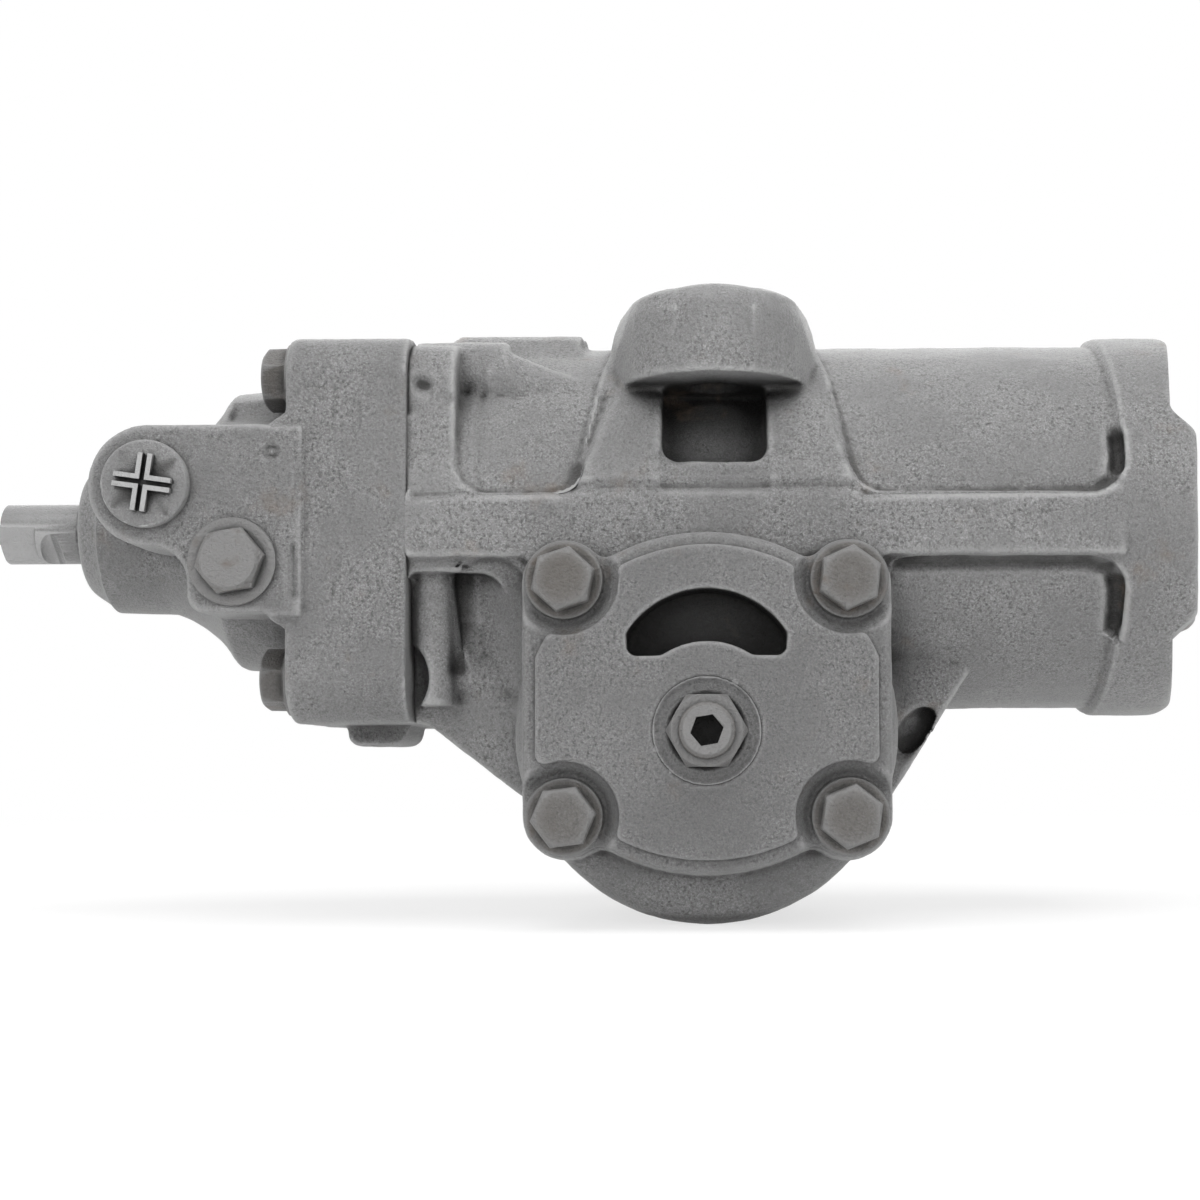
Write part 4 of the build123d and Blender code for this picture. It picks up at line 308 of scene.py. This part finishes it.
def lump(work, points):
    """One convex closed lump of cast iron round its points."""
    corners = [work.verts.new(point) for point in points]
    hull = bmesh.ops.convex_hull(work, input=corners)
    spare = {item for key in ("geom_interior", "geom_unused") for item in hull[key]
             if isinstance(item, bmesh.types.BMVert)}
    bmesh.ops.delete(work, geom=list(spare), context="VERTS")


def sphere(centre, radius, count=90):
    """Points spread over a sphere."""
    golden = pi * (3 - 5 ** 0.5)
    spots = []
    for index in range(count):
        rise = 1 - 2 * (index + 0.5) / count
        wide = (1 - rise * rise) ** 0.5
        spots.append(centre + radius * Vector((wide * cos(golden * index), wide * sin(golden * index), rise)))
    return spots


def merged_copy(node, lumps=()):
    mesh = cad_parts[node].data.copy()
    work = bmesh.new()
    work.from_mesh(mesh)
    bmesh.ops.remove_doubles(work, verts=work.verts, dist=2e-6)
    for points in lumps:
        lump(work, points)
    work.to_mesh(mesh)
    work.free()
    return mesh


def stroke_depth(spots, line, width):
    """How strongly each spot, seen from the front, lies under a stroke along a line of stations."""
    near = np.full(len(spots), 1e9)
    for (x0, z0), (x1, z1) in zip(line, line[1:]):
        start = np.array((SECTOR_X + x0 * MM, WORM_Z + z0 * MM))
        along = np.array(((x1 - x0) * MM, (z1 - z0) * MM))
        share = np.clip(((spots - start) @ along) / max(float(along @ along), 1e-12), 0, 1)
        near = np.minimum(near, np.linalg.norm(spots - start - share[:, None] * along, axis=1))
    return np.exp(-((near / (width * MM)) ** 2))


def soft_least(first, second, blur):
    """The lesser of two values, with the change between them run soft."""
    return -blur * np.logaddexp(-first / blur, -second / blur)


def ramp(value, low, high):
    """0 below low, 1 above high, and smooth between them."""
    share = np.clip((value - low) / (high - low), 0, 1)
    return share * share * (3 - 2 * share)


def barrel_front(height, proud):
    """How far in front of the worm axis the barrel's skin lies at a height, with metal laid on it."""
    return (BARREL ** 2 - height ** 2) ** 0.5 + proud


def housing_form(x, front, height):
    """Crowned closed end, with the boss of the oil passage in the middle of its front."""
    boss = ramp(height, -38, -30) * (1 - ramp(height, 20, 30))
    outer = 146.8 - 0.225 * np.maximum(front, 0)
    inner = 155.2 - 0.242 * np.maximum(front, 0)
    limit = outer + (inner - outer) * boss
    return np.where(x > 124, soft_least(x, limit, 0.7), x), front, height


def valve_form(x, front, height):
    """Rounded nose, and a block that is a little shorter and lower than its bolts need."""
    radius = np.hypot(front, height)
    nose = -196.3 + 8.8 * ramp(radius, 17.5, 26)
    x = np.where((x < -180) & (radius > 17.5), -soft_least(-x, -nose, 0.6), x)
    clear = np.maximum(ramp(height, 25, 29), 1 - ramp(height, -34, -31)) * ramp(radius, 40, 46)
    slide = np.interp(x, (-147, -126, -108), (0, 4.2, 0))
    drop = np.interp(height, (-60, -35, -20, 15, 35, 53), (-2.3, -2.0, 0, 0, -1.2, -1.6))
    block = ramp(x, -128, -124) * ramp(radius, 50, 56)
    return x + slide * clear, front, height + drop * block


def cover_form(x, front, height):
    """Cast rims that dish round the bolt seats, and a shallow ring round the seat of the locknut."""
    radius = np.hypot(x, height - CHAMBER_HEIGHT)
    depth = PLATEAU_FRONT - front
    near = (radius < 15.5) & (depth > 0.2) & (depth < 4)
    ring = np.where(near, 2.1 * ramp(radius, 9.9, 10.9) * ramp(depth, 0.2, 2.6), 0)
    rim = 0.55 * np.clip(depth, 0, 6) * (1 - ramp(depth, 8, 14)) * ramp(radius, 16, 19)
    for seat_x, seat_height in COVER_SEATS:
        rim = rim * ramp(np.hypot(x - seat_x, height - seat_height), 11.8, 16)
    kidney = (np.abs(x) < 24) & (height > -46.5) & (height < -23)
    return x, front + ring + np.where(kidney, 0, rim), height


WAVES = ((70, 0.7), (190, 0.4), (420, 0.22))


def worked(mesh, strokes, waver, keep, form=None):
    """Works strokes into the front of a casting and gives its outside the waver of a sand mould."""
    count = len(mesh.vertices)
    spots = np.empty(count * 3)
    ways = np.empty(count * 3)
    mesh.vertices.foreach_get("co", spots)
    mesh.vertices.foreach_get("normal", ways)
    spots, ways = spots.reshape(-1, 3), ways.reshape(-1, 3)
    if form:
        x, front, height = form(*((spots - (SECTOR_X, WORM_Y, WORM_Z)) / (MM, -MM, MM)).T)
        spots = np.stack((x, -front, height), axis=1) * MM + (SECTOR_X, WORM_Y, WORM_Z)
    seen = np.clip((-ways[:, 1] - 0.1) / 0.4, 0, 1)
    push = np.zeros(count)
    for line, width, height, front in strokes:
        held = seen * (spots[:, 1] < WORM_Y - front * MM)
        push += held * height * MM * stroke_depth(spots[:, (0, 2)], line, width)
    if waver:
        free = keep(spots)
        for index in np.nonzero(free > 0)[0]:
            spot = Vector(spots[index])
            swell = sum(noise.noise(spot * scale) * share for scale, share in WAVES)
            push[index] += waver * MM * swell * free[index]
    spots += ways * push[:, None]
    mesh.vertices.foreach_set("co", spots.ravel())
    mesh.update()


def outside_barrel(spots):
    """1 on what lies well outside the bores of the gear housing and off its joint faces."""
    off_worm = np.hypot(spots[:, 1] - WORM_Y, spots[:, 2] - WORM_Z)
    off_sector = np.hypot(spots[:, 0] - SECTOR_X, spots[:, 2] - SECTOR_Z)
    free = np.clip((off_worm - 0.049) / 0.004, 0, 1) + np.clip((spots[:, 0] - 0.134) / 0.003, 0, 1)
    free = np.clip(free, 0, 1) * np.clip((off_sector - 0.047) / 0.003, 0, 1)
    free *= np.clip((spots[:, 0] - SECTOR_X - JOINT_X - 0.001) / 0.003, 0, 1)
    return free * np.clip((-0.0015 - spots[:, 2]) / 0.003, 0, 1)


def outside_valve(spots):
    off_worm = np.hypot(spots[:, 1] - WORM_Y, spots[:, 2] - WORM_Z)
    free = np.clip((off_worm - 0.024) / 0.003, 0, 1)
    return free * np.clip((SECTOR_X + JOINT_X - 0.001 - spots[:, 0]) / 0.003, 0, 1)


def outside_cover(spots):
    return np.clip((-0.0135 - spots[:, 1]) / 0.002, 0, 1)


def cast_skin(node, voxel, passes, most, lumps=(), strokes=(), waver=0.0, keep=None, form=None):
    """A casting's skin: the solid's shape with every corner run soft, as a sand mould leaves it."""
    coat = NODE_FINISH[node]
    piece = settle(node + "_skin", merged_copy(node, lumps), coat)
    remesh = piece.modifiers.new("mould", "REMESH")
    remesh.mode = "VOXEL"
    remesh.voxel_size = voxel * MM
    soft = piece.modifiers.new("soft", "SMOOTH")
    soft.factor = 0.5
    soft.iterations = passes
    mesh = evaluated(piece)
    worked(mesh, strokes, waver, keep, form)
    piece.data = mesh
    count = sum(len(face.vertices) - 2 for face in mesh.polygons)
    if count > most:
        thin = piece.modifiers.new("thin", "DECIMATE")
        thin.ratio = most / count
        mesh = evaluated(piece)
        piece.data = mesh
    mesh.materials.clear()
    mesh.materials.append(coat)
    for face in mesh.polygons:
        face.use_smooth = True
    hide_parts(node)
    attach(piece, "housing")


# Softer forms of the gear housing: the sloping cheek and its ridge beside the lower bolt column,
# and the shoulder that runs from the upper bolt boss into the barrel
CHEEK = [place(*spot) for spot in (
    (-71, 43, -17), (-62, 50, -16), (-50, 55, -16), (-69, 42, -40), (-59, 48, -40), (-50, 53, -42),
    (-63, 39, -60), (-50, 47, -66), (-50, 20, -16), (-71, 20, -17), (-63, 20, -60), (-50, 20, -88),
    (-47, 42, -90), (-60, 36.5, -71),
)]
CHEEK_FOOT = [place(*spot) for spot in (
    (-85, 43, -50), (-85, 40, -60.5), (-76, 38, -62.5), (-66, 36.5, -69), (-52, 36.5, -84), (-47, 40, -90),
    (-50, 47, -60), (-74, 44, -46), (-85, 20, -50), (-85, 20, -60.5), (-66, 20, -69), (-50, 20, -84),
)]
RIDGE = sphere(place(-76, 43.5, -44), 2.6 * MM) + sphere(place(-63, 38.8, -60), 2.4 * MM)
SHOULDER = sphere(place(-64, 36, 40), 11 * MM) + sphere(place(-40, 38, 36), 5.5 * MM)


def flank_of_tower(foot, top, pocket):
    """Raised wall of the tower beside its pocket, from the brow to the foot."""
    points = []
    for height in (36, 32, 28, 24, 20, 16, 12, 9, 6):
        edge = foot + (top - foot) * (height - 6) / 30
        front = barrel_front(height, 3.4)
        points += [place(edge, front, height), place(pocket, front, height)]
        points += [place(edge, 30, height), place(pocket, 30, height)]
    return points


def kidney_corner(side):
    """Round outer corners of the kidney pocket."""
    outlines = (
        ((22.2, -45), (22.2, -40.5), (22.6, -36), (26.5, -35), (26.5, -45)),
        ((19.6, -45), (22.4, -42.4), (22.4, -45)),
    )
    fronts = (PLATEAU_FRONT - 0.1, PLATEAU_FRONT - 15)
    return [[place(side * x, front, z) for x, z in outline for front in fronts] for outline in outlines]


def shoulder_of_tower(side):
    """Points of one half of the tower's round brow, clear of the bolt hole, with the flank beside it."""
    points = []
    for height, inset, half in ((37.3, 0, 34), (56, 0, 30), (61, 1.6, 28), (62.8, 5, 24)):
        for turn in range(0, 181, 12):
            wide = (26.6 - inset) * sin(radians(turn))
            if wide > 9:
                points.append(place(2.6 + side * wide, 43.5 + (26.6 - inset) * cos(radians(turn)), height))
        points.append(place(2.6 + side * half, 32, height))
        points.append(place(2.6 + side * half, 18, height))
    return points


TOWER_FOOT = [
    place(x, barrel_front(height, 2.4), height)
    for x, height in ((-39, 6), (44.8, 6), (-37, 11), (42.5, 11), (-38, 8.5), (44, 8.5))
]
TOWER_FOOT += [place(x, 45, height) for x in (-38, 44) for height in (6, 11)]
REAR_PAD = [place(x, front, height) for x in (-77, -38) for front, height in (
    (7, 60.2), (16, 59.4), (20, 57.4), (27, 50), (6, 45), (27, 45))]
JOINT_BEAD = [place(x, front, height) for x in (-89, -84) for front in (50, 59.2) for height in (-13, 3.5)]
JOINT_BEAD_HIGH = [
    place(x, front, height) for x in (-87.5, -84) for front in (50, 57.6) for height in (2, 27)
]
HOUSING_STROKES = [
    # (line of stations and heights, width, height of the stroke, least distance in front)
    (((-30, 34), (-35, 18), (-38.5, 6)), 2.4, -1.6, 30),
    (((-37.5, 10), (-39.5, 5.5)), 3.0, -1.3, 50),
    (((37, 34), (42, 15), (44.5, 6)), 2.0, -1.0, 30),
    (((-36, 5.8), (42, 5.8)), 1.6, -1.0, 50),
    (((-22, 16), (-8, 14.5)), 2.5, -0.8, 50),
    (((22, 15.5), (40, 14)), 2.5, -0.8, 50),
    (((-71, -18), (-70, -38), (-72, -46)), 2.4, -2.2, 38),
    (((-66, 46), (-66, 8)), 1.5, -0.5, 40),
    (((-82.5, 36.4), (-81.5, 36)), 2.2, -2.4, 40),
    (((-78, 33), (-74, 32)), 2.0, -0.6, 40),
    (((46, 3.8), (112, 4.6), (117, 8), (118.5, 14), (118.5, 22)), 1.5, -1.5, 48),
    (((118.5, 11), (118.5, 20)), 1.6, -1.8, 48),
    (((30, -16.6), (110, -16.6), (116, -18.5), (118.5, -24), (119, -40)), 1.8, -1.8, 44),
    (((118.5, -22), (119, -34)), 1.8, -1.6, 44),
    (((-84, 3.8), (-42, 4.6)), 1.4, -1.1, 50),
    (((66, -61), (59, -70)), 3.2, -2.4, 20),
]

cast_skin(
    "gear_housing", 1.0, 5, 195000,
    (CHEEK, CHEEK_FOOT, RIDGE, SHOULDER, JOINT_BEAD, JOINT_BEAD_HIGH,
     shoulder_of_tower(-1), shoulder_of_tower(1),
     flank_of_tower(-39, -25.7, -13.6), flank_of_tower(44.8, 30, 18.9), TOWER_FOOT, REAR_PAD),
    HOUSING_STROKES, 0.3, outside_barrel, housing_form,
)
PUNCH_MARK = [
    (-124.8 + 1.5 * cos(radians(turn)), 16 + 1.5 * sin(radians(turn))) for turn in range(0, 361, 30)
]
VALVE_STROKES = [
    (PUNCH_MARK, 0.7, -0.9, 55),
    (((-118, 22), (-117, 8), (-118, -2)), 1.2, -0.5, 55),
    (((-118.5, -12), (-118, -25)), 1.6, -1.1, 50),
]
cast_skin(
    "valve_housing", 0.9, 4, 170000, (), VALVE_STROKES, 0.24, outside_valve, valve_form,
)
cast_skin(
    "sector_cover", 0.75, 4, 160000, kidney_corner(-1) + kidney_corner(1), (), 0.13, outside_cover,
    cover_form,
)


# Flanged hex bolts: one bolt, set out on a point for each, with that point's turn
def bolt_mesh(name, flats, head, flange_r, flange, shank_r, shank):
    """A flanged hex bolt that stands on the XY plane, with a chamfered and lightly dished crown."""
    crown = 0.46 * flats
    slope = 0.58
    steps = 72
    rows = []
    work = bmesh.new()
    for step in range(steps):
        turn = 2 * pi * step / steps
        corner = flats / 2 / cos((turn + pi / 6) % (pi / 3) - pi / 6)
        side = head - max(0.0, corner - crown) * slope
        outline = (
            (shank_r * 0.6, -shank), (shank_r, -shank + 1.5), (shank_r, 0.0), (flange_r, 0.0),
            (flange_r + 0.05, flange * 0.55), (flange_r - 0.35, flange * 0.95), (corner + 0.7, flange + 0.25),
            (corner + 0.1, flange + 0.9), (corner, side - 0.5), (corner - 0.3, side),
            (min(corner, crown) + 0.1, head - 0.15), (min(corner, crown) - 0.5, head),
            (crown * 0.55, head - 0.2),
        )
        rows.append([work.verts.new((r * cos(turn) * MM, r * sin(turn) * MM, z * MM)) for r, z in outline])
    for left, right in zip(rows, rows[1:] + rows[:1]):
        for low in range(len(left) - 1):
            work.faces.new((left[low], right[low], right[low + 1], left[low + 1]))
    work.faces.new([row[-1] for row in rows])
    work.faces.new([row[0] for row in reversed(rows)])
    mesh = bpy.data.meshes.new(name)
    work.to_mesh(mesh)
    work.free()
    for face in mesh.polygons:
        face.use_smooth = True
    mesh.set_sharp_from_angle(angle=radians(38))
    return mesh


def set_out_tree():
    """Sets one bolt on each point with that point's own turn."""
    tree = bpy.data.node_groups.new("set_out", "GeometryNodeTree")
    tree.interface.new_socket("Places", in_out="INPUT", socket_type="NodeSocketGeometry")
    for name, kind in (("Bolt", "Object"), ("Size", "Float"), ("Waver", "Float"), ("Seed", "Int"),
                       ("Coat", "Material")):
        tree.interface.new_socket(name, in_out="INPUT", socket_type="NodeSocket" + kind)
    tree.interface.new_socket("Bolts", in_out="OUTPUT", socket_type="NodeSocketGeometry")
    make, link = tree.nodes.new, tree.links.new
    given, result = make("NodeGroupInput"), make("NodeGroupOutput")
    bolt = make("GeometryNodeObjectInfo")
    link(given.outputs["Bolt"], bolt.inputs["Object"])
    turn = make("GeometryNodeInputNamedAttribute")
    turn.data_type = "FLOAT_VECTOR"
    turn.inputs["Name"].default_value = "turn"
    turned = make("FunctionNodeEulerToRotation")
    link(turn.outputs["Attribute"], turned.inputs["Euler"])
    chance = make("FunctionNodeRandomValue")
    chance.data_type = "FLOAT"
    least, most = make("ShaderNodeMath"), make("ShaderNodeMath")
    least.operation, most.operation = "SUBTRACT", "ADD"
    for end, key in ((least, "Min"), (most, "Max")):
        link(given.outputs["Size"], end.inputs[0])
        link(given.outputs["Waver"], end.inputs[1])
        socket = next(s for s in chance.inputs if s.name == key and s.type == "VALUE" and s.enabled)
        link(end.outputs[0], socket)
    link(given.outputs["Seed"], chance.inputs["Seed"])
    put = make("GeometryNodeInstanceOnPoints")
    link(given.outputs["Places"], put.inputs["Points"])
    link(bolt.outputs["Geometry"], put.inputs["Instance"])
    link(turned.outputs["Rotation"], put.inputs["Rotation"])
    link(next(s for s in chance.outputs if s.type == "VALUE" and s.enabled), put.inputs["Scale"])
    real = make("GeometryNodeRealizeInstances")
    link(put.outputs["Instances"], real.inputs["Geometry"])
    coated = make("GeometryNodeSetMaterial")
    link(real.outputs["Geometry"], coated.inputs["Geometry"])
    link(given.outputs["Coat"], coated.inputs["Material"])
    link(coated.outputs["Geometry"], result.inputs["Bolts"])
    return tree


SET_OUT = set_out_tree()


def set_out(name, node, bolt, spots, facing, waver):
    """All bolts of a node as one mesh."""
    mould = bpy.data.objects.new(name + "_mould", bolt)
    scene.collection.objects.link(mould)
    points = bpy.data.meshes.new(name)
    points.from_pydata([spot for spot, _ in spots], [], [])
    turns = points.attributes.new("turn", "FLOAT_VECTOR", "POINT")
    for index, (_, turn) in enumerate(spots):
        turns.data[index].vector = (facing @ Matrix.Rotation(radians(turn), 3, "Z")).to_euler("XYZ")
    piece = settle(name, points, BOLT_COAT)
    nodes = piece.modifiers.new("set_out", "NODES")
    nodes.node_group = SET_OUT
    values = {"Bolt": mould, "Size": 1.0, "Waver": waver, "Seed": 7, "Coat": BOLT_COAT}
    for item in SET_OUT.interface.items_tree:
        if item.in_out == "INPUT" and item.name in values:
            nodes[item.identifier] = values[item.name]
    piece.data = evaluated(piece)
    bpy.data.objects.remove(mould)
    piece.data.materials.clear()
    piece.data.materials.append(BOLT_COAT)
    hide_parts(node)
    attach(piece, "housing")


TO_FRONT = Matrix.Rotation(radians(90), 3, "X")
TO_LEFT = Matrix(((0, 0, -1), (-1, 0, 0), (0, 1, 0)))
COVER_SEAT_Y = -26.5 * MM
BLOCK_SEAT_X = -124.5 * MM

set_out(
    "cover_bolts_set", "cover_bolts", bolt_mesh("cover_bolt", 15.9, 8.6, 11.1, 1.6, 5.0, 22.0),
    [((SECTOR_X + x * MM, COVER_SEAT_Y, WORM_Z + height * MM), turn)
     for (x, height), turn in zip(COVER_SEATS, (-12, -6, 37, -8))],
    TO_FRONT, 0.004,
)
set_out(
    "valve_bolts_set", "valve_housing_bolts", bolt_mesh("valve_bolt", 16.4, 10.9, 11.1, 3.2, 5.0, 53.0),
    [((BLOCK_SEAT_X, y * MM, z * MM), turn) for y, z, turn in (
        (8.5, -21.1, -14), (78.5, -21.1, 9), (8.5, -111.7, -14), (78.5, -111.7, 20))],
    TO_LEFT, 0.0,
)


# Studio
floor_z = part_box("gear_housing")[0][2]
PAPER = paper_finish("studio_paper", 0.93, 0.7)
sheet = bpy.data.meshes.new("studio_floor")
work = bmesh.new()
reach = 4.0
wall_y = 3.0
sweep_r = 0.8
profile = [(-wall_y, floor_z)] + [
    (wall_y - sweep_r * (1 - sin(radians(turn))), floor_z + sweep_r * (1 - cos(radians(turn))))
    for turn in range(0, 91, 6)
] + [(wall_y, floor_z + reach)]
rows = [[work.verts.new((x, y, z)) for x in (-reach, reach)] for y, z in profile]
for low, high in zip(rows, rows[1:]):
    work.faces.new((low[0], low[1], high[1], high[0]))
bmesh.ops.recalc_face_normals(work, faces=work.faces)
work.to_mesh(sheet)
work.free()
floor = settle("studio_floor", sheet, PAPER)
for face in sheet.polygons:
    face.use_smooth = True

world = bpy.data.worlds.new("studio_air")
scene.world = world
world.use_nodes = True
air = world.node_tree
air.nodes.clear()
path = air.nodes.new("ShaderNodeLightPath")
seen = path.outputs["Is Camera Ray"]
for kind in ("Glossy", "Transmission"):
    either = air.nodes.new("ShaderNodeMath")
    either.operation = "MAXIMUM"
    air.links.new(seen, either.inputs[0])
    air.links.new(path.outputs[f"Is {kind} Ray"], either.inputs[1])
    seen = either.outputs[0]
mix = air.nodes.new("ShaderNodeMixShader")
air.links.new(seen, mix.inputs[0])
for slot, strength in ((1, 0.3), (2, 1.0)):
    light = air.nodes.new("ShaderNodeBackground")
    light.inputs["Color"].default_value = (1, 1, 1, 1)
    light.inputs["Strength"].default_value = strength
    air.links.new(light.outputs[0], mix.inputs[slot])
out = air.nodes.new("ShaderNodeOutputWorld")
air.links.new(mix.outputs[0], out.inputs["Surface"])


def lamp(name, spot, aim, size, power):
    data = bpy.data.lights.new(name, "AREA")
    data.shape = "RECTANGLE"
    data.size, data.size_y = size
    data.energy = power
    made = bpy.data.objects.new(name, data)
    made.location = spot
    made.rotation_euler = (Vector(aim) - Vector(spot)).to_track_quat("-Z", "Y").to_euler()
    scene.collection.objects.link(made)


lamp("lamp_over", (0.05, -0.35, 1.1), (0.0, 0.02, -0.08), (1.5, 1.0), 17.5)
lamp("lamp_front_left", (-0.8, -1.2, 0.5), (0.0, 0.0, -0.08), (0.9, 0.9), 8.5)
lamp("lamp_front_right", (0.95, -1.0, 0.3), (0.0, 0.0, -0.08), (0.8, 0.9), 4.0)
lamp("lamp_low", (0.05, -0.9, -0.16), (0.0, 0.0, -0.13), (1.2, 0.3), 4.6)
lamp("lamp_behind", (0.0, 1.1, 0.6), (0.0, 0.05, -0.08), (1.4, 0.8), 7.0)

LENS = 55.37
EYE = (-0.0037, -0.5440, -0.1364)
view = bpy.data.cameras.new("view")
view.lens = LENS
view.sensor_width = 36.0
view.shift_x = -0.06
view.shift_y = 0.075
view.clip_start = 0.01
eye = bpy.data.objects.new("view", view)
yaw, pitch, roll = radians(-0.956), radians(2.204), radians(-0.194)
ahead = Vector((sin(yaw) * cos(pitch), cos(yaw) * cos(pitch), sin(pitch)))
right = Vector((cos(yaw), -sin(yaw), 0.0))
up = right.cross(ahead)
right, up = right * cos(roll) + up * sin(roll), up * cos(roll) - right * sin(roll)
turn = Matrix((right, up, -ahead)).transposed()
eye.matrix_world = Matrix.Translation(EYE) @ turn.to_4x4()
scene.collection.objects.link(eye)
scene.camera = eye
scene.view_settings.view_transform = "Standard"
